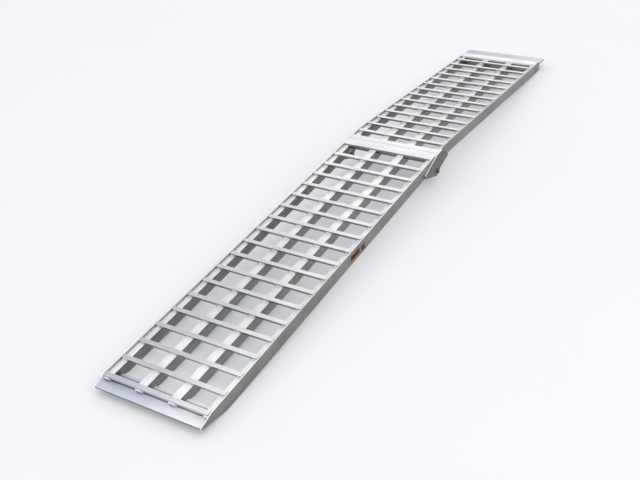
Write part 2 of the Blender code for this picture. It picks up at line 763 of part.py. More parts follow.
def standing_pose():
    """Tilt and place that stand the arch on its rails' heels and its top end."""
    heel = Vector((0, (RAIL_DEPTH - TOE_TIP_DEPTH) / math.tan(TOE_ANGLE), -RAIL_DEPTH))
    foot = along_upper(END_BEAM_END + WEB_OVERHANG - WEB_END_RADIUS, -RAIL_DEPTH)
    chord = foot - heel
    tilt = -math.atan2(chord.z, chord.y)
    turn = Matrix.Rotation(tilt, 4, "X")
    toe_y = (turn @ TOE_TIP).y
    lip_end = END_BEAM_END + SEAT_GAP + LIP_PLATE_REACH
    top_y = max((turn @ along_upper(lip_end, height)).y for height in (LIP_REST, LIP_PLATE_TOP))
    shift = Vector((0, -(toe_y + top_y) / 2, -(turn @ heel).z))
    return Matrix.Translation(shift) @ turn


clear_scene()
MILL_ALUMINIUM = finish("mill_aluminium", (0.72, 0.72, 0.72), 0.38, 1.0)
BRIGHT_ALUMINIUM = finish("bright_aluminium", (0.76, 0.77, 0.80), 0.28, 1.0)
TREAD_ALUMINIUM = finish("tread_aluminium", (0.78, 0.78, 0.77), 0.34, 1.0)
ZINC_STEEL = finish("zinc_steel", (0.55, 0.55, 0.54), 0.35, 1.0)
DARK_STEEL = finish("dark_steel", (0.09, 0.09, 0.09), 0.45, 1.0)
NYLON = finish("nylon", (0.12, 0.12, 0.12), 0.6, 0.0)

frame_origin = {"lower_frame": Vector((0, 0, 0)), "upper_frame": PIVOT}
lower_frame = bpy.data.objects.new("lower_frame", None)
upper_frame = bpy.data.objects.new("upper_frame", None)
for frame in (lower_frame, upper_frame):
    parts.objects.link(frame)
lower_frame.matrix_world = standing_pose()
upper_frame.parent = lower_frame
upper_frame.location = PIVOT

lower_rails()
toe_bar()
lower_beam = box_beam("lower_hinge_beam", BEAM_START, LOWER_BEAM_WIDTH, BEAM_BOTTOM, BEAM_TOP)
place(lower_beam, MILL_ALUMINIUM, lower_frame, Vector((0, BEAM_START, 0)))
lower_lugs()
rungs()
upper_rails()
upper_beam_start = LOWER_LENGTH + SEAT_GAP
upper_beam = box_beam("upper_hinge_beam", upper_beam_start, UPPER_BEAM_WIDTH, BEAM_BOTTOM, BEAM_TOP)
place(upper_beam, MILL_ALUMINIUM, upper_frame, Vector((0, upper_beam_start, 0)))
top_end()
hinge_cheeks()
upper_lugs()
pivots()
bpy.context.view_layer.update()
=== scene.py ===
"""Folding motorcycle ramp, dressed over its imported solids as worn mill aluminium.

Each sub-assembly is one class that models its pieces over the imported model's nodes
and gives them their finish. Lengths are in metres. A section's own frame has X across
the ramp, Y up the ramp and Z square to the deck, with Z = 0 on the tops of the rails.
"""

import json
import logging
import math
import random
from contextlib import contextmanager
from dataclasses import dataclass, field, replace
from enum import Enum
from typing import Any, Callable, Iterator, Mapping, NamedTuple, Sequence

import bmesh
import bpy
from mathutils import Matrix, Vector

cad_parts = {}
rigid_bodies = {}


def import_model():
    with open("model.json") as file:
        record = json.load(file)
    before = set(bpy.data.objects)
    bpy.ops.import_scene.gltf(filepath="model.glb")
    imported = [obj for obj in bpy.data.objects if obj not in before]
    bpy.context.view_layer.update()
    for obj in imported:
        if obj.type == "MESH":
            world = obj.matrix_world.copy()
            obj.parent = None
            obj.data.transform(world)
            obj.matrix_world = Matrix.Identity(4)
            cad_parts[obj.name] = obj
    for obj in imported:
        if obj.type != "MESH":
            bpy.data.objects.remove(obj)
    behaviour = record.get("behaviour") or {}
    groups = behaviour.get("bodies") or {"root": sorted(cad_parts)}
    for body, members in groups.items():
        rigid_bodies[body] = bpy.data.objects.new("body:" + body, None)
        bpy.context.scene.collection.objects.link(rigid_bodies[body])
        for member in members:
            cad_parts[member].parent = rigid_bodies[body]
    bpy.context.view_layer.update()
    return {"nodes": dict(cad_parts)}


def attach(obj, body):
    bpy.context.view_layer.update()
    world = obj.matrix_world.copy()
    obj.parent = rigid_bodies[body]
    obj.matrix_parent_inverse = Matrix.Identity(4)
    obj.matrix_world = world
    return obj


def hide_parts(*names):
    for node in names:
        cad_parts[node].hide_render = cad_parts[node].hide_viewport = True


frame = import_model()
LOG = logging.getLogger("ramp")

Point = tuple[float, float, float]
Colour = tuple[float, float, float]
Span = tuple[float, float]
Tones = tuple[tuple[float, Colour], ...]
Shades = tuple[tuple[float, float], ...]
Object = bpy.types.Object
Socket = bpy.types.NodeSocket

SIDES = {"left": -1, "right": 1}
WHITE: Colour = (1.0, 1.0, 1.0)
CLOSE = 1e-5  # how near a plane an element lies that is picked as lying on it
SQUARE = 0.9  # the least cosine to an axis of a face that looks straight along it
FACING = 0.7  # the least cosine to an axis of a face that looks roughly along it
TOP_LIFT: Span = (0.25, 0.8)  # how far up a face looks where its painted light starts, and where it is full; walls below keep a painted shade
EDGE_HIGHLIGHT = 0.55  # the painted highlight on an eased edge that is narrower than EDGE_WIDTH
EDGE_WIDTH = 0.0007
EDGE_LIFT = -0.3  # an edge that looks further down than this gets no painted highlight


class Section(Enum):
    """The two bodies that the pieces ride on."""

    LOWER = "lower_section"
    UPPER = "upper_section"


class Run(Enum):
    """The way a profile was drawn through its die, and so the way its grain runs."""

    ALONG = (1.0, 0.012, 1.0)
    ACROSS = (0.012, 1.0, 1.0)
    NONE = (1.0, 1.0, 1.0)


class Pick(Enum):
    """What an edit picks: the name of the select mode, and of the mesh's list."""

    VERT = "verts"
    EDGE = "edges"
    FACE = "faces"


@dataclass(frozen=True)
class Deck:
    """The line of the deck from the toe's tip to the lip, as the ramp stands unfolded."""

    tilt: float = 0.05275811
    shift: Point = (0.0, -1.12717034, 0.02498285)
    joint: float = 1.222
    bend_start: float = 0.035
    bend_length: float = 0.070
    bend_angle: float = math.radians(7)

    def slope(self, section: Section) -> float:
        """Return how far a section's straight run is turned up from level."""
        return self.tilt - (self.bend_angle if section is Section.UPPER else 0.0)

    def station(self, section: Section, distance: float = 0.0) -> Matrix:
        """Find the frame that lies on the rails' tops at a distance up a section.

        Args:
            section: The section whose own start the distance is measured from.
            distance: How far up the section the frame's origin lies.

        Returns:
            The matrix from that frame to the world.
        """
        along, height, turn = distance, 0.0, 0.0
        if section is Section.UPPER:
            bent = min(max(distance - self.bend_start, 0.0), self.bend_length)
            straight = max(distance - self.bend_start - self.bend_length, 0.0)
            radius = self.bend_length / self.bend_angle
            turn = bent / radius
            flat = self.joint + min(distance, self.bend_start)
            along = flat + radius * math.sin(turn) + straight * math.cos(turn)
            height = -radius * (1 - math.cos(turn)) - straight * math.sin(turn)
        stood = Matrix.Translation(self.shift) @ Matrix.Rotation(self.tilt, 4, "X")
        return stood @ Matrix.Translation((0, along, height)) @ Matrix.Rotation(-turn, 4, "X")


DECK = Deck()


# The bench: picking and shaping

def clear_selection() -> None:
    """Deselect every object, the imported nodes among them."""
    for obj in bpy.context.view_layer.objects:
        obj.select_set(False)


def smoothstep(value: float, low: float, high: float) -> float:
    """Return 0 below low, 1 above high and a smooth rise between them."""
    share = min(max((value - low) / (high - low), 0.0), 1.0)
    return share * share * (3 - 2 * share)


def run_along_x(edge: Any) -> float:
    """Return how far an edge runs along X."""
    return abs(edge.verts[0].co.x - edge.verts[1].co.x)


class Workpiece:
    """One mesh object on the bench, shaped by operators on what is picked."""

    def __init__(self, obj: Object) -> None:
        """Hold an object that is already in the scene."""
        self.obj = obj

    @staticmethod
    def named(name: str) -> "Workpiece":
        """Name the primitive that was just added and settle its place in its mesh.

        Args:
            name: The piece's name.

        Returns:
            The piece, ready to be shaped.
        """
        obj = bpy.context.active_object
        obj.name = obj.data.name = name
        bpy.ops.object.transform_apply(location=True, rotation=True, scale=True)
        return Workpiece(obj)

    @staticmethod
    def block(name: str, low: Point, high: Point) -> "Workpiece":
        """Add a block between two corners.

        Args:
            name: The piece's name.
            low: Its lowest corner.
            high: Its highest corner.

        Returns:
            The block, ready to be shaped.
        """
        clear_selection()
        centre = (Vector(low) + Vector(high)) / 2
        bpy.ops.mesh.primitive_cube_add(size=1, location=centre, scale=Vector(high) - Vector(low))
        return Workpiece.named(name)

    @staticmethod
    def rod(name: str, radius: float, start: Point, end: Point, sides: int = 48) -> "Workpiece":
        """Add a rod between two points.

        Args:
            name: The piece's name.
            radius: Its radius, to its corners.
            start: The middle of its first end.
            end: The middle of its other end.
            sides: How many flats go round it.

        Returns:
            The rod, ready to be shaped.
        """
        clear_selection()
        line = Vector(end) - Vector(start)
        bpy.ops.mesh.primitive_cylinder_add(
            vertices=sides, radius=radius, depth=line.length,
            location=(Vector(start) + Vector(end)) / 2,
            rotation=line.to_track_quat("Z", "Y").to_euler(),
        )
        return Workpiece.named(name)

    @staticmethod
    def linked(name: str, mesh: bpy.types.Mesh) -> "Workpiece":
        """Put a mesh into the scene as a new object.

        Args:
            name: The object's name, and the mesh's.
            mesh: The mesh, which nothing else uses.

        Returns:
            The piece, with its object at the origin.
        """
        obj = bpy.data.objects.new(name, mesh)
        mesh.name = name
        bpy.context.scene.collection.objects.link(obj)
        return Workpiece(obj)

    @staticmethod
    def copy_of(node: str) -> "Workpiece":
        """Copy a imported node's mesh, with its loose triangles joined into whole faces.

        Args:
            node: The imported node.

        Returns:
            The copy, which lies where the node does.
        """
        piece = Workpiece.linked(f"dressed_{node}", frame["nodes"][node].data.copy())
        with piece.editing():
            bpy.ops.mesh.customdata_custom_splitnormals_clear()
            bpy.ops.mesh.select_all(action="SELECT")
            bpy.ops.mesh.remove_doubles(threshold=1e-6)
            bpy.ops.mesh.dissolve_limited(angle_limit=math.radians(0.2))
        return piece

    def copy(self, name: str, place: Matrix) -> "Workpiece":
        """Return a copy with a mesh of its own, laid at another place."""
        return Workpiece.linked(name, self.obj.data.copy()).moved(place)

    def alone(self) -> None:
        """Select this object only, and make it the active one."""
        clear_selection()
        self.obj.select_set(True)
        bpy.context.view_layer.objects.active = self.obj

    @contextmanager
    def editing(self) -> Iterator["Workpiece"]:
        """Open the mesh in edit mode with nothing picked, and close it afterwards.

        Yields:
            This piece.
        """
        self.alone()
        bpy.ops.object.mode_set(mode="EDIT")
        bpy.ops.mesh.select_all(action="DESELECT")
        yield self
        bpy.ops.object.mode_set(mode="OBJECT")

    def pick(self, kind: Pick, test: Callable[[Any], bool]) -> None:
        """Pick the elements that pass a test, and nothing else.

        Args:
            kind: Whether vertices, edges or faces are picked.
            test: Says whether an element is wanted.
        """
        bpy.ops.mesh.select_mode(type=kind.name)
        bpy.ops.mesh.select_all(action="DESELECT")
        shape = bmesh.from_edit_mesh(self.obj.data)
        shape.normal_update()
        for element in [element for element in getattr(shape, kind.value) if test(element)]:
            element.select_set(True)
        shape.select_flush_mode()
        bmesh.update_edit_mesh(self.obj.data)

    def split(self, point: Point, normal: Point) -> None:
        """Cut the whole mesh along a plane and keep both sides."""
        bpy.ops.mesh.select_all(action="SELECT")
        bpy.ops.mesh.bisect(plane_co=point, plane_no=normal)

    def moved(self, matrix: Matrix) -> "Workpiece":
        """Lay the mesh at another place, with the object still at the origin.

        Args:
            matrix: How it is moved.

        Returns:
            This piece.
        """
        self.obj.data.transform(matrix)
        self.obj.data.update()
        return self

    def modified(self, kind: str, **settings: Any) -> "Workpiece":
        """Apply one modifier.

        Args:
            kind: The modifier's type.
            settings: Its settings by name.

        Returns:
            This piece.
        """
        modifier = self.obj.modifiers.new(kind.lower(), kind)
        for name, value in settings.items():
            setattr(modifier, name, value)
        self.alone()
        bpy.ops.object.modifier_apply(modifier=modifier.name)
        return self

    def cut_by(self, cutter: "Workpiece", operation: str = "DIFFERENCE") -> "Workpiece":
        """Cut by another piece, which is used up.

        Args:
            cutter: The other piece.
            operation: What is kept.

        Returns:
            This piece.
        """
        self.modified("BOOLEAN", object=cutter.obj, operation=operation, solver="EXACT")
        cutter.discard()
        return self

    def discard(self) -> None:
        """Take the object out of the scene."""
        bpy.data.objects.remove(self.obj, do_unlink=True)

    def eased(self, width: float, segments: int = 2) -> "Workpiece":
        """Round every sharp edge.

        Args:
            width: How wide the rounding is.
            segments: How many faces it has.

        Returns:
            This piece.
        """
        return self.modified(
            "BEVEL", width=width, segments=segments, limit_method="ANGLE",
            angle_limit=math.radians(32), use_clamp_overlap=True, miter_outer="MITER_ARC",
        )

    def smoothed(self, angle: float = 34.0) -> "Workpiece":
        """Shade smooth wherever faces meet below an angle.

        Args:
            angle: The angle in degrees.

        Returns:
            This piece.
        """
        self.alone()
        bpy.ops.object.shade_smooth_by_angle(angle=math.radians(angle))
        return self

    def joined_with(self, others: Sequence["Workpiece"]) -> "Workpiece":
        """Join other pieces into this one's mesh.

        Args:
            others: The pieces, which are used up.

        Returns:
            This piece.
        """
        self.alone()
        for other in others:
            other.obj.select_set(True)
        bpy.ops.object.join()
        return self

    def mark_wear(self, slope: float = 0.0,
                  rubbed_and_lit: Callable[[Any], float] = lambda face: 0.0) -> "Workpiece":
        """Write each face's painted light, with the worn parts that some pieces add: 1 on faces that look
        up, painted as lit, less on the walls, painted as shaded.

        Args:
            slope: How far the deck under the piece is turned up from level.
            rubbed_and_lit: The least value of a face that a piece lightens in its own way, as painted light
                or as worn rims.

        Returns:
            This piece.
        """
        mesh = self.obj.data
        up = Matrix.Rotation(slope, 3, "X") @ Vector((0, 0, 1))
        values = []
        for face in mesh.polygons:
            corners = [mesh.vertices[index].co for index in face.vertices]
            longest = max((a - b).length for a, b in zip(corners, corners[1:] + corners[:1]))
            lift = face.normal.dot(up)
            is_edge = longest > 0 and face.area / longest < EDGE_WIDTH and lift > EDGE_LIFT
            values.append(max(smoothstep(lift, *TOP_LIFT), EDGE_HIGHLIGHT * is_edge, rubbed_and_lit(face)))
        mesh.attributes.new("wear", "FLOAT", "FACE").data.foreach_set("value", values)
        return self

    def finished(self, section: Section, finish: "Finish", *replaces: str) -> Object:
        """Give the piece its finish and its body.

        Args:
            section: The section that it rides on.
            finish: What its surface is.
            replaces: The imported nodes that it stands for.

        Returns:
            The finished object.
        """
        self.obj.data.materials.clear()
        self.obj.data.materials.append(finish.material(section))
        if "wear" not in self.obj.data.attributes:
            self.mark_wear(DECK.slope(section))
        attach(self.obj, section.value)
        if replaces:
            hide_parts(*replaces)
        LOG.info("%s: %d faces, stands for %s", self.obj.name, len(self.obj.data.polygons), replaces)
        return self.obj


# Finishes

class Speckle(NamedTuple):
    """A noise pattern: how fine it is, how many layers it has and how rough they are."""

    scale: float
    detail: float
    roughness: float = 0.55


class Graph:
    """Builds one material's node tree, a node at a time."""

    def __init__(self, name: str) -> None:
        """Start a material with its shader and its output.

        Args:
            name: The material's name.
        """
        self.material = bpy.data.materials.new(name)
        self.material.use_nodes = True
        self.tree = self.material.node_tree
        self.tree.nodes.clear()
        self.shader = self.add("ShaderNodeBsdfPrincipled")
        self.output = self.add("ShaderNodeOutputMaterial", {"Surface": self.shader.outputs["BSDF"]})

    def add(self, kind: str, feeds: Mapping[Any, Any] | None = None, **settings: Any) -> bpy.types.Node:
        """Add one node.

        Args:
            kind: The node's type.
            feeds: What its inputs are fed, by their names or their numbers.
            settings: Its settings by name.

        Returns:
            The node.
        """
        node = self.tree.nodes.new(kind)
        for name, value in settings.items():
            setattr(node, name, value)
        for key, value in (feeds or {}).items():
            self.feed(node.inputs[key], value)
        return node

    def feed(self, socket: Socket, value: Any) -> None:
        """Link a socket to another, or set its value.

        Args:
            socket: The socket that is fed.
            value: The other socket, or a number, a vector or a colour.
        """
        if isinstance(value, Socket):
            self.tree.links.new(value, socket)
        elif socket.type == "RGBA":
            socket.default_value = (*value, 1.0)
        else:
            socket.default_value = value

    def shade(self, name: str, value: Any) -> None:
        """Feed one of the shader's own sockets."""
        self.feed(self.shader.inputs[name], value)

    def mapped(self, vector: Socket, name: str, value: Point) -> Socket:
        """Turn or scale coordinates, where the name is Rotation or Scale."""
        return self.add("ShaderNodeMapping", {"Vector": vector, name: value}).outputs["Vector"]

    def coordinates(self, turn: float) -> Socket:
        """Read the object's coordinates, turned so that Y runs up the ramp."""
        source = self.add("ShaderNodeTexCoord").outputs["Object"]
        return self.mapped(source, "Rotation", (-turn, 0, 0))

    def noise(self, vector: Socket, speckle: Speckle) -> Socket:
        """Lay a noise pattern on coordinates, and return its value."""
        feeds = dict(zip(("Vector", "Scale", "Detail", "Roughness"), (vector, *speckle)))
        return self.add("ShaderNodeTexNoise", feeds).outputs["Fac"]

    def ramp(self, value: Socket, tones: Sequence[tuple[float, Colour]]) -> Socket:
        """Turn a value into a colour.

        Args:
            value: The value.
            tones: Places along it, each with its colour.

        Returns:
            The colour.
        """
        node = self.add("ShaderNodeValToRGB", {"Fac": value})
        elements = node.color_ramp.elements
        while len(elements) < len(tones):
            elements.new(0.5)
        for element, (place, colour) in zip(elements, tones):
            element.position = place
            element.color = (*colour, 1.0)
        return node.outputs["Color"]

    def between(self, value: Socket, span: Span, low: Colour, high: Colour) -> Socket:
        """Fade from one colour to another as a value crosses a span."""
        return self.ramp(value, list(zip(span, (low, high))))

    def remap(self, value: Socket, source: Span, target: Span = (0.0, 1.0)) -> Socket:
        """Carry a value from one range to another, clamped."""
        names = ("Value", "From Min", "From Max", "To Min", "To Max")
        return self.add("ShaderNodeMapRange", dict(zip(names, (value, *source, *target)))).outputs["Result"]

    def calculate(self, operation: str, first: Any, second: Any) -> Socket:
        """Combine two values by one operation, a sum being clamped."""
        settings = {"operation": operation, "use_clamp": operation == "ADD"}
        return self.add("ShaderNodeMath", {0: first, 1: second}, **settings).outputs["Value"]

    def weighed(self, first: Socket, share: float, second: Socket) -> Socket:
        """Add two patterns, the first by its share and the second by the rest."""
        return self.calculate("ADD", self.calculate("MULTIPLY", first, share),
                              self.calculate("MULTIPLY", second, 1 - share))

    def blend(self, factor: Any, first: Any, second: Any, mode: str = "MIX") -> Socket:
        """Mix two colours.

        Args:
            factor: How much of the second colour shows.
            first: The first colour or its socket.
            second: The second colour or its socket.
            mode: The way they mix.

        Returns:
            The mixed colour.
        """
        node = self.add("ShaderNodeMix", {"Factor": factor}, data_type="RGBA", blend_type=mode)
        colours = [socket for socket in node.inputs if socket.type == "RGBA"]
        for socket, colour in zip(colours, (first, second)):
            self.feed(socket, colour)
        return next(socket for socket in node.outputs if socket.type == "RGBA")

    def toned(self, colour: Socket, tone: Socket) -> Socket:
        """Multiply a colour by a tone."""
        return self.blend(1.0, colour, tone, "MULTIPLY")

    def attribute(self, name: str) -> Socket:
        """Read one of the mesh's own values."""
        return self.add("ShaderNodeAttribute", attribute_name=name).outputs["Fac"]

    def bump(self, height: Socket, distance: float) -> None:
        """Raise the surface by a pattern, as high as the distance says."""
        feeds = {"Height": height, "Distance": distance, "Strength": 1.0}
        self.shade("Normal", self.add("ShaderNodeBump", feeds).outputs["Normal"])


@dataclass(frozen=True)
class Finish:
    """What every finish has: its name, and a slot name that nothing in this script reads."""

    name: str
    slot: str

    def material(self, section: Section) -> bpy.types.Material:
        """Find this finish's material for one section, and make it on its first use.

        Args:
            section: The section, whose slope turns the patterns.

        Returns:
            The material.
        """
        name = f"{self.name}_{section.name.lower()}"
        if name in bpy.data.materials:
            return bpy.data.materials[name]
        graph = Graph(name)
        self.dress(graph, graph.coordinates(DECK.slope(section)))
        return graph.material

    def dress(self, graph: Graph, place: Socket) -> None:
        """Add this finish's nodes to a material.

        Args:
            graph: The material's tree.
            place: The coordinates that its patterns lie on.
        """
        raise NotImplementedError


@dataclass(frozen=True)
class Aluminium(Finish):
    """Drawn or rolled aluminium with streaks and scuffs, its walls darkened as painted shade and its tops
    lightened as painted light.

    A span is the part of a pattern, or of the ramp's width or length, that a change
    of tone takes. Fields that are empty add no nodes.
    """

    # painted shade: the walls' dark colours stand for the shade that falls on them
    wall_dark: Colour = (0.20, 0.20, 0.192)
    wall_light: Colour = (0.325, 0.325, 0.317)
    wall_span: Span = (0.34, 0.62)
    stain: Colour = (0.82, 0.82, 0.80)
    stain_span: Span = (0.36, 0.6)
    # painted sheen on the walls towards the toe
    toe_wall_sheen: tuple[float, ...] = ()
    toe_share: float = 0.85
    toe_span: Span = (-1.0, -0.8)
    # painted sheen: the tops' colour across the ramp
    across: Tones = ((0.0, (0.90, 0.90, 0.92)), (1.0, (0.94, 0.94, 0.95)))
    across_span: Span = (-0.15, 0.15)
    across_wander: float = 0.12
    # painted sheen that the tops fade to up the ramp
    sheen_up: tuple[float, ...] = ()
    sheen_span: Span = (-0.85, -0.05)
    # painted light and shade on the tops in steps along the ramp
    lengthwise_light: Shades = ()
    length_span: Span = (-1.13, 1.13)
    # painted shadow under the toe's first rung, with painted light in front of it and behind it
    rung_shadow_and_light: Shades = ()
    rung_shadow_span: Span = (-1.13, -1.03)
    streak_dark: Colour = (0.86, 0.86, 0.88)
    streak_span: Span = (0.32, 0.55)
    scuff: Colour = (0.86, 0.86, 0.90)
    scuff_span: Span = (0.3, 0.5)
    streaks: Speckle = Speckle(420, 4, 0.65)
    lines: Speckle = Speckle(1900, 2, 0.5)
    mottle: Speckle = Speckle(330, 3, 0.6)
    stains: Speckle = Speckle(11, 4, 0.6)
    wall_streaks: float = 0.55
    top_streaks: float = 0.7
    relief_lines: float = 0.6
    run: Run = Run.ALONG
    rough_span: Span = (0.3, 0.7)
    rough_wall: Span = (0.36, 0.5)
    rough_top: Span = (0.42, 0.55)
    grain: float = 0.00006
    metal_top: float = 0.45

    def dress(self, graph: Graph, place: Socket) -> None:
        """Add streaks, mottling, scuffs, a top in painted light and walls in painted shade to a material.

        Args:
            graph: The material's tree.
            place: The coordinates that its patterns lie on.
        """
        drawn = graph.mapped(place, "Scale", self.run.value)
        streaks, lines = graph.noise(drawn, self.streaks), graph.noise(drawn, self.lines)
        mottle, stains = graph.noise(place, self.mottle), graph.noise(place, self.stains)
        wear = graph.attribute("wear")
        axes = graph.add("ShaderNodeSeparateXYZ", {"Vector": place})
        wall = self.wall(graph, axes, graph.weighed(streaks, self.wall_streaks, mottle), stains)
        top = self.top(graph, axes, graph.weighed(streaks, self.top_streaks, lines), stains)
        # painted light and shade: faces that look up get the light top colour, walls the dark wall colour
        graph.shade("Base Color", graph.blend(wear, wall, top))
        rough_wall = graph.remap(mottle, self.rough_span, self.rough_wall)
        rough_top = graph.remap(streaks, self.rough_span, self.rough_top)
        drop = graph.calculate("SUBTRACT", rough_wall, rough_top)
        graph.shade("Roughness", graph.calculate(
            "SUBTRACT", rough_wall, graph.calculate("MULTIPLY", drop, wear)))
        graph.shade("Metallic", graph.remap(wear, (0.0, 1.0), (1.0, self.metal_top)))
        graph.bump(graph.weighed(lines, self.relief_lines, mottle), self.grain)

    def wall(self, graph: Graph, axes: bpy.types.Node, pattern: Socket, stains: Socket) -> Socket:
        """Colour the walls: a dark painted shade with stains, and a painted sheen towards the toe where its
        colour is given.

        Args:
            graph: The material's tree.
            axes: The node that splits the place into X, Y and Z.
            pattern: The pattern of the bare wall.
            stains: The pattern of the stains.

        Returns:
            The colour.
        """
        colour = graph.between(pattern, self.wall_span, self.wall_dark, self.wall_light)
        colour = graph.toned(colour, graph.between(stains, self.stain_span, self.stain, WHITE))
        # painted sheen: walls lightened towards the toe
        if self.toe_wall_sheen:
            toe = graph.remap(axes.outputs["Y"], self.toe_span, (self.toe_share, 0.0))
            colour = graph.blend(toe, colour, self.toe_wall_sheen)
        return colour

    def top(self, graph: Graph, axes: bpy.types.Node, pattern: Socket, stains: Socket) -> Socket:
        """Colour the tops: a painted sheen across the ramp and up it, painted light and shade along it,
        streaks and scuffs.

        Args:
            graph: The material's tree.
            axes: The node that splits the place into X, Y and Z.
            pattern: The pattern of the streaks.
            stains: The pattern of the scuffs, which also makes the tones wander.

        Returns:
            The colour.
        """
        # painted sheen across the ramp, wandering with the scuffs
        wander = graph.calculate("MULTIPLY", graph.calculate("SUBTRACT", stains, 0.5), self.across_wander)
        place = graph.calculate("SUBTRACT", axes.outputs["X"], wander)
        colour = graph.ramp(graph.remap(place, self.across_span), self.across)
        # painted sheen that fades in up the ramp
        if self.sheen_up:
            colour = graph.blend(graph.remap(axes.outputs["Y"], self.sheen_span), colour, self.sheen_up)
        # painted light and shade along the ramp, and a painted shadow under the toe's first rung
        for span, shades in ((self.length_span, self.lengthwise_light), (self.rung_shadow_span, self.rung_shadow_and_light)):
            if shades:
                tones = [(share, (shade, shade, shade)) for share, shade in shades]
                colour = graph.toned(colour, graph.ramp(graph.remap(axes.outputs["Y"], span), tones))
        colour = graph.toned(colour, graph.between(pattern, self.streak_span, self.streak_dark, WHITE))
        return graph.toned(colour, graph.between(stains, self.scuff_span, self.scuff, WHITE))


@dataclass(frozen=True)
class Clouded(Finish):
    """A finish that one soft pattern clouds: weld metal, plated steel, nylon or printed film.

    Where it is worn it shows another colour, along its edges and in its scratches; on bolts and nuts that
    colour also lies, as painted light, on the faces that look up.
    """

    cloud: Speckle
    tones: Tones
    rough: Span
    relief: float
    rough_span: Span = (0.3, 0.7)
    rubbed_and_lit: tuple[float, ...] = ()
    rubbed_and_lit_share: float = 0.0
    scratches: tuple[float, ...] = ()
    scratch_span: Span = (0.68, 0.76)
    scratch_share: float = 0.5
    grain: tuple[float, ...] = ()
    metallic: float = 0.0
    subsurface: float = 0.0
    specular: float = 0.5

    def dress(self, graph: Graph, place: Socket) -> None:
        """Add clouds, a lighter colour on worn edges and scratches and as painted light on faces that look
        up, and grain to a material.

        Args:
            graph: The material's tree.
            place: The coordinates that its patterns lie on.
        """
        cloud = graph.noise(place, self.cloud)
        colour = graph.ramp(cloud, self.tones)
        if self.rubbed_and_lit:
            share = graph.calculate("MULTIPLY", graph.attribute("wear"), self.rubbed_and_lit_share)
            if self.scratches:
                pattern = graph.noise(graph.mapped(place, "Scale", Run.ALONG.value), self.scratches)
                cut = graph.remap(pattern, self.scratch_span, (0.0, self.scratch_share))
                share = graph.calculate("MAXIMUM", cut, share)
            colour = graph.blend(share, colour, self.rubbed_and_lit)
        graph.shade("Base Color", colour)
        graph.shade("Roughness", graph.remap(cloud, self.rough_span, self.rough))
        graph.shade("Metallic", self.metallic)
        graph.shade("Subsurface Weight", self.subsurface)
        graph.shade("Specular IOR Level", self.specular)
        graph.bump(graph.noise(place, self.grain) if self.grain else cloud, self.relief)


# painted light: a faint painted sheen across the ramp and painted light and shade in steps along it
RAIL_METAL = Aluminium(
    "rail_metal", "mill_aluminium", grain=0.00008,
    across=((0.0, (0.96, 0.96, 0.975)), (1.0, WHITE)),
    lengthwise_light=((0.06, 1.0), (0.17, 0.82), (0.285, 0.87), (0.40, 1.0), (0.54, 1.0),
                (0.61, 0.78), (0.73, 0.84), (0.81, 0.90), (0.90, 0.84)),
)
# painted light: the inner rails' walls are painted lighter than the side rails'
INNER_METAL = replace(
    RAIL_METAL, name="inner_metal", wall_dark=(0.25, 0.25, 0.24), wall_light=(0.41, 0.41, 0.40))
# painted sheen: a faint gradient across the beams' tops; painted shade on their walls
BEAM_METAL = Aluminium(
    "beam_metal", "mill_aluminium", run=Run.ACROSS,
    across=((0.0, (0.88, 0.88, 0.895)), (1.0, (0.93, 0.93, 0.935))),
)
# painted shade: the cheeks' and lugs' walls are painted darker
PLATE_METAL = Aluminium(
    "plate_metal", "mill_aluminium", run=Run.NONE,
    wall_dark=(0.13, 0.13, 0.128), wall_light=(0.215, 0.215, 0.21),
)
# painted sheen: lilac to white across the rungs, fading to light grey up the ramp; painted shade on their
# walls, with a painted lilac sheen near the toe
TREAD_METAL = Aluminium(
    "tread_metal", "tread_aluminium", run=Run.ACROSS,
    wall_dark=(0.25, 0.25, 0.245), wall_light=(0.40, 0.40, 0.395), toe_wall_sheen=(0.62, 0.62, 0.67),
    across=((0.1, (0.60, 0.605, 0.645)), (0.5, (0.69, 0.69, 0.71)), (0.85, (0.87, 0.87, 0.88))),
    sheen_up=(0.91, 0.91, 0.915),
)
# painted sheen: lilac to white across the toe bar; painted shade on its walls; a painted shadow band under
# the first rung with painted light either side
TOE_METAL = Aluminium(
    "toe_metal", "bright_aluminium", run=Run.ACROSS, metal_top=0.3,
    wall_dark=(0.13, 0.13, 0.125), wall_light=(0.22, 0.22, 0.21),
    streak_dark=(0.94, 0.94, 0.95), rough_top=(0.45, 0.6),
    across=((0.07, (0.74, 0.79, 0.88)), (0.27, (0.77, 0.81, 0.92)), (0.5, (0.87, 0.89, 0.98)),
            (0.73, (1.02, 1.02, 1.05)), (0.9, (1.08, 1.08, 1.08))),
    rung_shadow_and_light=((0.18, 0.9), (0.30, 1.0), (0.39, 1.12), (0.41, 1.12), (0.425, 0.24), (0.68, 0.24),
           (0.74, 1.15)),
)
# painted sheen: a darker lilac gradient across the lip plate; painted shade on its walls
LIP_METAL = replace(
    TOE_METAL, name="lip_metal", wall_dark=(0.20, 0.20, 0.195), wall_light=(0.32, 0.32, 0.31),
    across=((0.07, (0.52, 0.54, 0.60)), (0.33, (0.56, 0.58, 0.64)),
            (0.67, (0.60, 0.60, 0.69)), (0.93, (0.66, 0.67, 0.71))),
    rung_shadow_and_light=(),
)
WELD_METAL = Clouded(
    "weld_metal", "mill_aluminium", cloud=Speckle(520, 3, 0.6),
    tones=((0.28, (0.22, 0.22, 0.22)), (0.38, (0.78, 0.78, 0.79)), (0.52, (0.97, 0.97, 0.97))),
    rough=(0.6, 0.3), rough_span=(0.35, 0.6), metallic=0.6, grain=Speckle(1300, 2), relief=0.0002,
)
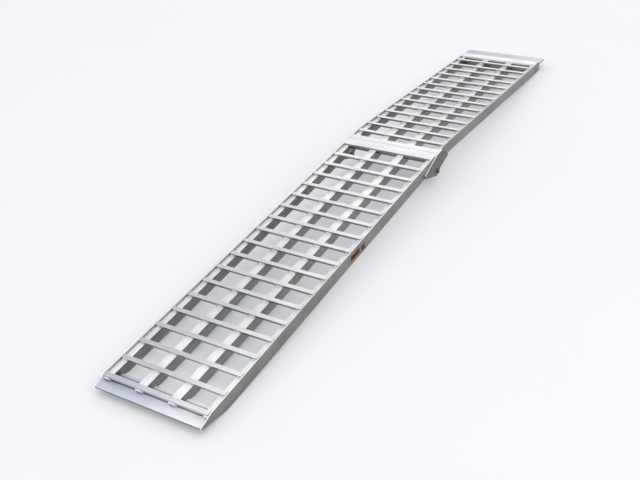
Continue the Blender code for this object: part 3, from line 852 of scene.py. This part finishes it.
# the lighter colour shows on the bolts' edges, and as painted light on their faces that look up
BLACK_STEEL = Clouded(
    "black_steel", "dark_steel", cloud=Speckle(260, 4, 0.6),
    tones=((0.35, (0.05, 0.05, 0.055)), (0.65, (0.11, 0.11, 0.12))),
    rubbed_and_lit=(0.45, 0.45, 0.46), rubbed_and_lit_share=0.45, rough=(0.3, 0.5), metallic=1.0,
    grain=Speckle(2200, 2), relief=0.00004,
)
ZINC_STEEL = replace(
    BLACK_STEEL, name="zinc_steel", slot="zinc_steel", rubbed_and_lit=(0.8, 0.8, 0.8), rough=(0.25, 0.4),
    tones=((0.35, (0.48, 0.48, 0.50)), (0.65, (0.66, 0.66, 0.67))),
)
WASHER_NYLON = Clouded(
    "washer_nylon", "nylon", cloud=Speckle(400, 3),
    tones=((0.35, (0.09, 0.09, 0.09)), (0.6, (0.15, 0.15, 0.145))),
    rough=(0.35, 0.5), subsurface=0.1, relief=0.00005,
)
RED_FILM = Clouded(
    "red_film", "mill_aluminium", cloud=Speckle(90, 4, 0.6),
    tones=((0.35, (0.035, 0.006, 0.002)), (0.65, (0.17, 0.036, 0.006))),
    rubbed_and_lit=(0.42, 0.41, 0.40), rubbed_and_lit_share=0.3, scratches=Speckle(900, 3, 0.7),
    rough=(0.55, 0.7), specular=0.1, relief=0.0001,
)
DARK_FILM = replace(
    RED_FILM, name="dark_film", rubbed_and_lit_share=1.0,
    tones=((0.35, (0.035, 0.035, 0.037)), (0.65, (0.08, 0.08, 0.08))),
)
GREY_FILM = replace(
    RED_FILM, name="grey_film", tones=((0.35, (0.21, 0.21, 0.21)), (0.65, (0.27, 0.27, 0.27))))


# Sub-assemblies

@dataclass
class Rails:
    """The eight extruded rails, with their drawn edges eased."""

    edge: float = 0.0005
    # the low kerb's inner face, where painted light lies
    kerb_face: float = 0.1508
    kerb_near: float = 0.0001
    kerb_wear: float = 0.3
    toe_end: float = 0.034

    def build(self) -> list[Object]:
        """Model and dress every rail.

        Returns:
            The dressed rails.
        """
        return [
            self.rail(section, kind, side)
            for section in Section for side in SIDES for kind in ("side", "inner")
        ]

    def rail(self, section: Section, kind: str, side: str) -> Object:
        """Model one rail over its node, split where the kerb's painted light at the toe begins.

        Args:
            section: The section that it belongs to.
            kind: Whether it is a side or an inner rail.
            side: The side that it is on.

        Returns:
            The dressed rail.
        """
        node = f"{section.name.lower()}_{kind}_rail_{side}"
        piece = Workpiece.copy_of(node)
        toe = DECK.station(Section.LOWER, self.toe_end)
        with piece.editing():
            piece.split(toe.translation, toe.col[1].xyz)
        piece.eased(self.edge).smoothed()

        def rubbed_and_lit(face: Any) -> float:
            """Find the painted light on the faces that look down the ramp, and on the low kerb's inner face
            beside the deck.

            Args:
                face: The rail's face.

            Returns:
                Its least painted light.
            """
            on_kerb = abs(abs(face.center.x) - self.kerb_face) < self.kerb_near
            kerb = on_kerb and face.normal.x * face.center.x < 0
            at_toe = face.center.y < toe.translation.y
            # painted light: full on faces that look down the ramp and on the kerb at the toe, a share of it
            # on the kerb elsewhere
            return max(float(face.normal.y < -FACING), kerb * (1.0 if at_toe else self.kerb_wear))

        piece.mark_wear(DECK.slope(section), rubbed_and_lit)
        return piece.finished(section, INNER_METAL if kind == "inner" else RAIL_METAL, node)


@dataclass
class Treads:
    """The hollow rungs: one extrusion, cut to length and laid across the rails."""

    width: float = 0.0127
    height: float = 0.0075
    wall: float = 0.0014
    corner: float = 0.0009
    groove_width: float = 0.0018
    groove_depth: float = 0.0006
    groove_offset: float = 0.0021
    groove_cuts: tuple[float, ...] = (-0.5, -0.34, 0.34, 0.5)
    groove_floor: float = 0.4
    # where the painted light on a rung's front and back faces begins, as a share of its height, and how
    # strong it is
    lit_from: float = 0.8
    rubbed_and_lit: float = 0.3
    seat: float = 0.0003
    reach: float = 0.1493
    lower_count: int = 18
    lower_first: float = 0.0385
    lower_last: float = 1.118
    upper_count: int = 14
    upper_first: float = 0.0627
    upper_last: float = 0.8882

    def pattern(self) -> Workpiece:
        """Model the rung that every other is copied from.

        Returns:
            The rung along X, standing on the rails' tops.
        """
        half, top = self.width / 2, self.seat + self.height
        lit_low = self.seat + self.lit_from * self.height
        tread = Workpiece.block("tread", (-self.reach, -half, self.seat), (self.reach, half, top))
        with tread.editing():
            tread.pick(Pick.FACE, lambda face: abs(face.normal.x) > SQUARE)
            bpy.ops.mesh.inset(thickness=self.wall, use_individual=True)
            bpy.ops.mesh.bridge_edge_loops()
            tread.pick(Pick.EDGE, lambda edge: run_along_x(edge) > self.reach and all(
                abs(abs(vert.co.y) - half) < CLOSE for vert in edge.verts))
            bpy.ops.mesh.bevel(offset=self.corner, segments=3, affect="EDGES")
            tread.split((0, 0, lit_low), (0, 0, 1))
            for centre in (-self.groove_offset, self.groove_offset):
                for step in self.groove_cuts:
                    tread.split((0, centre + step * self.groove_width, 0), (0, 1, 0))
                near = self.groove_floor * self.groove_width
                tread.pick(Pick.VERT, lambda vert: abs(vert.co.y - centre) < near
                           and vert.co.z > top - CLOSE)
                bpy.ops.transform.translate(value=(0, 0, -self.groove_depth))
            bpy.ops.mesh.select_all(action="SELECT")
            bpy.ops.mesh.normals_make_consistent(inside=False)
        # painted light: the tops and groove faces take the top colour, and the upper part of the front and
        # back faces is painted lighter
        return tread.smoothed(40).mark_wear(0.0, lambda face: max(
            float(face.center.z > top - self.groove_depth - CLOSE),
            self.rubbed_and_lit * (face.center.z > lit_low and abs(face.center.y) > half - CLOSE)))

    def stations(self) -> Iterator[tuple[str, Section, float]]:
        """List the rungs from the toe to the lip.

        Yields:
            Each rung's node, its section and its distance up that section.
        """
        rows = (
            (Section.LOWER, self.lower_count, self.lower_first, self.lower_last),
            (Section.UPPER, self.upper_count, self.upper_first, self.upper_last),
        )
        for section, count, first, last in rows:
            for index in range(count):
                distance = first + (last - first) * index / (count - 1)
                yield f"{section.name.lower()}_rung_{index + 1:02d}", section, distance

    def build(self) -> list[Object]:
        """Lay a copy of the pattern at every rung's station.

        Returns:
            The dressed rungs.
        """
        pattern = self.pattern()
        made = []
        for node, section, distance in self.stations():
            tread = pattern.copy(f"dressed_{node}", DECK.station(section, distance))
            made.append(tread.finished(section, TREAD_METAL, node))
        pattern.discard()
        return made


@dataclass(frozen=True)
class Beam:
    """One beam's node, its near edge and width up its section, and its looks.

    The drawn lines lie at shares of the width. The near face is painted lighter above
    the deck, as painted light, by the share that the last field gives.
    """

    section: Section
    node: str
    start: float
    width: float
    lines: Span
    rubbed_and_lit: float


@dataclass
class CrossBeams:
    """The hollow beams across the joint and the top end, with drawn lines on their tops."""

    beams: tuple[Beam, ...] = (
        Beam(Section.LOWER, "lower_hinge_beam", 1.182, 0.040, (0.24, 0.76), 0.2),
        Beam(Section.UPPER, "upper_hinge_beam", 0.0003, 0.024, (0.28, 0.72), 0.2),
        Beam(Section.UPPER, "top_end_beam", 0.934, 0.038, (0.24, 0.76), 1.0),
    )
    edge: float = 0.0004
    line_width: float = 0.0011
    line_depth: float = 0.0005
    # the height above which a beam's near face is painted lighter
    lit_from: float = 0.0002

    def build(self) -> list[Object]:
        """Model and dress the three beams.

        Returns:
            The dressed beams.
        """
        return [self.beam(beam) for beam in self.beams]

    def beam(self, plan: Beam) -> Object:
        """Model one beam over its node.

        Args:
            plan: The beam's place and looks.

        Returns:
            The dressed beam.
        """
        place = DECK.station(plan.section, plan.start)
        beam = Workpiece.copy_of(plan.node).moved(place.inverted())
        top = max(vert.co.z for vert in beam.obj.data.vertices)
        half = self.line_width / 2
        with beam.editing():
            beam.split((0, 0, self.lit_from), (0, 0, 1))
            for share in plan.lines:
                middle = share * plan.width
                for offset in (-half, 0.0, half):
                    beam.split((0, middle + offset, 0), (0, 1, 0))
                beam.pick(Pick.VERT, lambda vert: abs(vert.co.y - middle) < half / 2
                          and vert.co.z > top - CLOSE)
                bpy.ops.transform.translate(value=(0, 0, -self.line_depth))
        beam.eased(self.edge).smoothed()
        # painted light: the tops and drawn lines take the top colour, and the near face above the deck is
        # painted lighter
        beam.mark_wear(0.0, lambda face: max(
            float(face.center.z > top - self.line_depth - CLOSE),
            plan.rubbed_and_lit * (face.center.z > self.lit_from and face.normal.y < -FACING)))
        return beam.moved(place).finished(plan.section, BEAM_METAL, plan.node)


@dataclass
class EndPlates:
    """The toe bar, the lip plate and the bar that backs it."""

    edge: float = 0.0006

    def build(self) -> list[Object]:
        """Model and dress the three flat pieces.

        Returns:
            The dressed pieces.
        """
        return [
            Workpiece.copy_of(node).eased(self.edge).smoothed().finished(section, finish, node)
            for section, node, finish in (
                (Section.LOWER, "toe_bar", TOE_METAL),
                (Section.UPPER, "lip_plate", LIP_METAL),
                (Section.UPPER, "lip_backing_bar", BEAM_METAL),
            )
        ]


@dataclass
class HingePlates:
    """The cheeks outside the webs and the lugs below the rails, sawn and eased."""

    edge: float = 0.0005

    def build(self) -> list[Object]:
        """Model and dress the six plates.

        Returns:
            The dressed plates.
        """
        return [
            Workpiece.copy_of(node).eased(self.edge).smoothed().finished(section, PLATE_METAL, node)
            for side in SIDES
            for section, node in (
                (Section.UPPER, f"hinge_cheek_{side}"),
                (Section.UPPER, f"upper_hinge_lug_{side}"),
                (Section.LOWER, f"lower_hinge_lug_{side}"),
            )
        ]


@dataclass
class PivotHardware:
    """The pivot bolts with hexagon sockets, and the nuts with their collars."""

    pivot: Point = (0.0, 1.213, -0.048)
    head_radius: float = 0.007
    head_start: float = 0.1591
    head_end: float = 0.1627
    head_round: float = 0.0011
    shank_radius: float = 0.004
    shank_end: float = 0.137
    socket_flats: float = 0.0050
    socket_depth: float = 0.0022
    bolt_edge: float = 0.00025
    nut_start: float = 0.1385
    nut_end: float = 0.1425
    nut_radius: float = 0.0075
    nut_turned: float = 0.995
    nut_chamfer: float = 0.0009
    nut_bore: float = 0.0042
    nut_edge: float = 0.0002
    socket_overrun: float = 0.002
    bore_overrun: float = 0.01

    def bolt(self) -> Workpiece:
        """Model the right bolt: a round head drawn out to its shank, with its socket cut.

        Returns:
            The bolt along X, with its middle line on the origin.
        """
        head = Workpiece.rod("bolt", self.head_radius, (self.head_start, 0, 0), (self.head_end, 0, 0))
        with head.editing():
            head.pick(Pick.EDGE, lambda edge: all(
                vert.co.x > self.head_end - CLOSE for vert in edge.verts))
            bpy.ops.mesh.bevel(offset=self.head_round, segments=4, affect="EDGES")
            head.pick(Pick.FACE, lambda face: face.normal.x < -SQUARE)
            bpy.ops.mesh.inset(thickness=self.head_radius - self.shank_radius)
            bpy.ops.mesh.extrude_region_move(
                TRANSFORM_OT_translate={"value": (self.shank_end - self.head_start, 0, 0)})
        corners = self.socket_flats / 2 / math.cos(math.radians(30))
        floor, mouth = self.head_end - self.socket_depth, self.head_end + self.socket_overrun
        socket = Workpiece.rod("socket", corners, (floor, 0, 0), (mouth, 0, 0), 6)
        return head.cut_by(socket).eased(self.bolt_edge, 1).smoothed(30)

    def nut(self) -> Workpiece:
        """Model the right nut: a hexagon turned to a chamfer at both ends, and bored.

        Returns:
            The nut along X, with its middle line on the origin.
        """
        start, end = (self.nut_start, 0, 0), (self.nut_end, 0, 0)
        nut = Workpiece.rod("nut", self.nut_radius, start, end, 6)
        turned = Workpiece.rod("nut_turning", self.nut_radius * self.nut_turned, start, end)
        with turned.editing():
            turned.pick(Pick.EDGE, lambda edge: run_along_x(edge) < CLOSE)
            bpy.ops.mesh.bevel(offset=self.nut_chamfer, segments=1, affect="EDGES")
        nut.cut_by(turned, "INTERSECT")
        bore = Workpiece.rod("nut_hole", self.nut_bore, (self.nut_start - self.bore_overrun, 0, 0),
                             (self.nut_end + self.bore_overrun, 0, 0), 32)
        return nut.cut_by(bore).eased(self.nut_edge, 1).smoothed(30)

    def build(self) -> list[Object]:
        """Fit a bolt and a nut on each side, and dress the washers.

        Returns:
            The bolts and the nuts.
        """
        axis = DECK.station(Section.LOWER) @ Matrix.Translation(self.pivot)
        made = []
        for kind, pattern, finish in (
            ("bolt", self.bolt(), BLACK_STEEL), ("nut", self.nut(), ZINC_STEEL),
        ):
            for side, sign in SIDES.items():
                turn = Matrix.Identity(4) if sign > 0 else Matrix.Rotation(math.pi, 4, "Z")
                node = f"pivot_{kind}_{side}"
                piece = pattern.copy(f"dressed_{node}", axis @ turn)
                made.append(piece.finished(Section.UPPER, finish, node))
            pattern.discard()
        for side in SIDES:
            for slot in frame["nodes"][f"pivot_washer_{side}"].material_slots:
                slot.material = WASHER_NYLON.material(Section.UPPER)
        return made


@dataclass(frozen=True)
class Seam:
    """One weld bead, from a start to an end in its section's frame, and its radius."""

    section: Section
    distance: float
    start: Point
    end: Point
    radius: float


@dataclass(frozen=True)
class Row:
    """Level beads of one kind: where they lie on a section, and their radius."""

    section: Section
    distance: float
    y: float
    z: float
    radius: float

    def bead(self, middle: float, half: float) -> Seam:
        """Return the seam that runs along X by half its length from its middle."""
        ends = [(middle + offset, self.y, self.z) for offset in (-half, half)]
        return Seam(self.section, self.distance, *ends, self.radius)


@dataclass
class WeldBeads:
    """Rippled beads where the rungs, beams and plates meet the rails."""

    treads: Treads = field(default_factory=Treads)
    variants: int = 6
    ripples: int = 10
    sides: int = 8
    seed: int = 11
    crest_size: Span = (0.88, 1.06)
    trough: float = 0.8
    end_size: Span = (0.35, 0.55)
    flatness: Span = (0.9, 1.08)
    drift: Point = (0.02, 0.1, 0.08)
    rails: tuple[tuple[float, float], ...] = (
        (-0.1424, 0.0135), (-0.0478, 0.0195), (0.0478, 0.0195), (0.1424, 0.0135))
    rung_drift: float = 0.001
    rung_half: Span = (0.40, 0.5)
    rung_gap: float = 0.0003
    rung_height: float = 0.0012
    rung_rise: float = 0.0008
    rung_radius: Span = (0.0017, 0.0023)
    beam_rows: tuple[Row, ...] = (
        Row(Section.LOWER, 1.182, -0.0005, 0.0008, 0.002),
        Row(Section.UPPER, 0.0243, 0.0005, 0.0008, 0.002),
        Row(Section.UPPER, 0.934, -0.0005, 0.0008, 0.002),
    )
    nose_row: Row = Row(Section.LOWER, 0.0, 0.0332, -0.0035, 0.0024)
    nose_half: float = 0.58
    lip_row: Row = Row(Section.UPPER, 0.972, 0.0012, 0.0036, 0.0019)
    lip_middles: tuple[float, ...] = (-0.120, -0.072, -0.024, 0.024, 0.072, 0.120)
    lip_half: float = 0.014
    upright: Seam = Seam(Section.LOWER, 0.0, (-0.1336, 1.187, -0.0255), (-0.1336, 1.187, -0.005), 0.0017)
    lug_face: float = 0.1488
    lug_starts: tuple[float, ...] = (1.142, 1.178)
    lug_length: float = 0.026
    lug_height: float = -0.0308
    lug_radius: float = 0.0016

    def pattern(self, rng: random.Random, name: str) -> Workpiece:
        """Model a bead one unit long and one in radius, with its ripples.

        Args:
            rng: The source of its unevenness.
            name: The pattern's name.

        Returns:
            The bead, along X about the origin.
        """
        bead = Workpiece.rod(name, 1.0, (-0.5, 0, 0), (0.5, 0, 0), self.sides)
        with bead.editing():
            bead.pick(Pick.EDGE, lambda edge: run_along_x(edge) > 0.5)
            bpy.ops.mesh.subdivide(number_cuts=self.ripples - 1)
            for index in range(self.ripples + 1):
                place = index / self.ripples - 0.5
                bead.pick(Pick.VERT, lambda vert: abs(vert.co.x - place) < 0.2 / self.ripples)
                if index in (0, self.ripples):
                    size = rng.uniform(*self.end_size)
                else:
                    size = (1.0 if index % 2 else self.trough) * rng.uniform(*self.crest_size)
                bpy.ops.transform.resize(value=(1, size, size * rng.uniform(*self.flatness)),
                                         center_override=(place, 0, 0))
                bpy.ops.transform.translate(value=[rng.uniform(-reach, reach) for reach in self.drift])
        return bead.smoothed(70)

    def rung_seams(self, rng: random.Random) -> Iterator[Seam]:
        """Lay out the beads on both sides of every rung, over every rail.

        Args:
            rng: The source of their unevenness.

        Yields:
            One seam at a time.
        """
        for _, section, distance in self.treads.stations():
            for middle, length in self.rails:
                for side in (-1, 1):
                    centre = middle + rng.uniform(-self.rung_drift, self.rung_drift)
                    half = length * rng.uniform(*self.rung_half)
                    y = side * (self.treads.width / 2 + self.rung_gap)
                    z = self.rung_height + rng.uniform(0.0, self.rung_rise)
                    row = Row(section, distance, y, z, rng.uniform(*self.rung_radius))
                    yield row.bead(centre, half)

    def plate_seams(self) -> Iterator[Seam]:
        """Lay out the beads at the feet of the beams, on the toe, at the lip and at the lugs.

        Yields:
            One seam at a time.
        """
        for middle, length in self.rails:
            for row in self.beam_rows:
                yield row.bead(middle, length / 2)
        for middle, length in self.rails:
            yield self.nose_row.bead(middle, length * self.nose_half)
        for middle in self.lip_middles:
            yield self.lip_row.bead(middle, self.lip_half)
        yield self.upright
        for sign in SIDES.values():
            for start in self.lug_starts:
                ends = [(sign * self.lug_face, y, self.lug_height) for y in (start, start + self.lug_length)]
                yield Seam(Section.LOWER, 0.0, *ends, self.lug_radius)

    def build(self) -> list[Object]:
        """Lay every bead, and join each section's into one piece.

        Returns:
            One piece for each section.
        """
        rng = random.Random(self.seed)
        patterns = [self.pattern(rng, f"bead_{index}") for index in range(self.variants)]
        seams = [*self.rung_seams(rng), *self.plate_seams()]
        made = []
        for section in Section:
            beads = []
            for seam in (seam for seam in seams if seam.section is section):
                start, end = Vector(seam.start), Vector(seam.end)
                line = end - start
                turn = line.to_track_quat("X", "Z").to_matrix().to_4x4()
                size = Matrix.Diagonal((line.length, seam.radius, seam.radius, 1))
                middle = Matrix.Translation((start + end) / 2)
                place = DECK.station(section, seam.distance) @ middle @ turn @ size
                beads.append(rng.choice(patterns).copy("bead", place))
            joined = beads[0].joined_with(beads[1:])
            joined.obj.name = joined.obj.data.name = f"{section.name.lower()}_weld_beads"
            made.append(joined.finished(section, WELD_METAL))
        for pattern in patterns:
            pattern.discard()
        return made


@dataclass(frozen=True)
class Film:
    """One film's name and finish, its ends up the lower section and its two edges."""

    name: str
    finish: Finish
    start: float
    end: float
    low: float
    high: float


@dataclass
class LabelPatches:
    """Blank films on the right web's outer face, where the labels were."""

    films: tuple[Film, ...] = (
        Film("red_label_patch", RED_FILM, 0.663, 0.712, -0.021, -0.004),
        Film("small_label_patch", DARK_FILM, 0.718, 0.742, -0.026, -0.005),
        Film("long_label_patch", GREY_FILM, 0.745, 0.835, -0.026, -0.006),
    )
    face: float = 0.154
    clear: float = 0.00002
    thickness: float = 0.00025
    corner: float = 0.0015
    rim: float = 0.0012
    swell: float = 0.00006

    def build(self) -> list[Object]:
        """Lay the three films.

        Returns:
            The dressed films.
        """
        return [self.patch(film) for film in self.films]

    def patch(self, plan: Film) -> Object:
        """Model one film with round corners and a thin rim.

        Args:
            plan: Its place and its finish.

        Returns:
            The dressed film.
        """
        film = Workpiece.block(plan.name, (self.face + self.clear, plan.start, plan.low),
                               (self.face + self.thickness, plan.end, plan.high))
        with film.editing():
            film.pick(Pick.EDGE, lambda edge: run_along_x(edge) > self.thickness / 2)
            bpy.ops.mesh.bevel(offset=self.corner, segments=5, affect="EDGES")
            film.pick(Pick.FACE, lambda face: face.normal.x > SQUARE)
            bpy.ops.mesh.inset(thickness=self.rim)
            bpy.ops.transform.translate(value=(self.swell, 0, 0))
        middle = Vector((0, (plan.start + plan.end) / 2, (plan.low + plan.high) / 2))
        film.smoothed(30).mark_wear(0.0, lambda face: float(
            (face.center - middle).yz.length > self.rim * 2))
        return film.moved(DECK.station(Section.LOWER)).finished(Section.LOWER, plan.finish)


# Studio

@dataclass(frozen=True)
class Lamp:
    """One soft lamp: where it hangs, what it points at, its size and its power in watts."""

    name: str
    place: Point
    aim: Point
    width: float
    height: float
    power: float


@dataclass
class Studio:
    """A plain pale floor, a pale sky, soft lamps and the camera."""

    floor_size: float = 40.0
    floor_colour: Colour = (0.90, 0.90, 0.90)
    floor_light: Colour = (0.909, 0.909, 0.909)
    floor_cloud: Speckle = Speckle(3, 2)
    floor_span: Span = (0.3, 0.7)
    floor_rough: float = 0.75
    floor_specular: float = 0.1
    glow_colour: Colour = (0.83, 0.90, 0.99)
    floor_glow: float = 0.21
    sky_colour: Colour = (0.985, 0.99, 1.0)
    sky_strength: float = 0.965
    lamps: tuple[Lamp, ...] = (
        Lamp("back_lamp", (-0.6, 5.0, 3.2), (0.0, 0.4, 0.0), 4.5, 2.4, 16),
        Lamp("side_lamp", (2.9, -1.3, 3.6), (0.0, -0.5, 0.0), 3.0, 3.0, 28),
    )
    camera_place: Point = (1.1185, -2.08843, 1.31245)
    camera_turn: Point = (57.51603744, 4.158025197, 30.36811833)
    lens: float = 48.36473298
    sensor: float = 36.0
    shift: Span = (-0.5 / 640, 0.5 / 640)  # half a pixel of the photograph's frame

    def build(self) -> None:
        """Set the floor, the light, the camera and the view."""
        self.floor()
        self.sky()
        for lamp in self.lamps:
            self.hang(lamp)
        self.camera()
        bpy.context.scene.view_settings.view_transform = "Standard"

    def floor(self) -> None:
        """Lay the floor, which glows a little for the camera and in reflections only."""
        clear_selection()
        bpy.ops.mesh.primitive_plane_add(size=self.floor_size)
        floor = bpy.context.active_object
        floor.name = "studio_floor"
        graph = Graph("studio_floor")
        cloud = graph.noise(graph.coordinates(0.0), self.floor_cloud)
        graph.shade("Base Color", graph.between(
            cloud, self.floor_span, self.floor_colour, self.floor_light))
        graph.shade("Roughness", self.floor_rough)
        graph.shade("Specular IOR Level", self.floor_specular)
        glow = graph.add("ShaderNodeEmission", {"Color": self.glow_colour})
        path = graph.add("ShaderNodeLightPath")
        seen = graph.calculate("ADD", path.outputs["Is Camera Ray"], path.outputs["Is Glossy Ray"])
        seen = graph.calculate("ADD", seen, path.outputs["Is Transmission Ray"])
        share = graph.calculate("MULTIPLY", seen, self.floor_glow)
        mix = graph.add("ShaderNodeMixShader", {
            "Fac": share, 1: graph.shader.outputs["BSDF"], 2: glow.outputs["Emission"]})
        graph.feed(graph.output.inputs["Surface"], mix.outputs["Shader"])
        floor.data.materials.append(graph.material)

    def sky(self) -> None:
        """Light the scene from all round."""
        world = bpy.data.worlds.new("studio_sky")
        world.use_nodes = True
        background = world.node_tree.nodes["Background"]
        background.inputs["Color"].default_value = (*self.sky_colour, 1.0)
        background.inputs["Strength"].default_value = self.sky_strength
        bpy.context.scene.world = world

    def hang(self, lamp: Lamp) -> None:
        """Hang one soft lamp.

        Args:
            lamp: Its place, size and power.
        """
        data = bpy.data.lights.new(lamp.name, "AREA")
        data.shape, data.energy = "RECTANGLE", lamp.power
        data.size, data.size_y = lamp.width, lamp.height
        obj = bpy.data.objects.new(lamp.name, data)
        bpy.context.scene.collection.objects.link(obj)
        obj.location = lamp.place
        aim = Vector(lamp.aim) - Vector(lamp.place)
        obj.rotation_euler = aim.to_track_quat("-Z", "Y").to_euler()

    def camera(self) -> None:
        """Set the camera where the photograph was taken from."""
        data = bpy.data.cameras.new("photo_camera")
        data.lens, data.sensor_width = self.lens, self.sensor
        data.shift_x, data.shift_y = self.shift
        camera = bpy.data.objects.new("photo_camera", data)
        bpy.context.scene.collection.objects.link(camera)
        camera.location = self.camera_place
        camera.rotation_euler = tuple(math.radians(angle) for angle in self.camera_turn)
        bpy.context.scene.camera = camera


def main() -> None:
    """Build every sub-assembly in order, then the studio."""
    logging.basicConfig(level=logging.INFO, format="%(name)s: %(message)s")
    treads = Treads()
    for assembly in (
        Rails(), treads, CrossBeams(), EndPlates(), HingePlates(), PivotHardware(),
        WeldBeads(treads), LabelPatches(),
    ):
        made = assembly.build()
        LOG.info("%s: %d pieces", type(assembly).__name__, len(made))
    Studio().build()


if __name__ == "__main__":
    main()
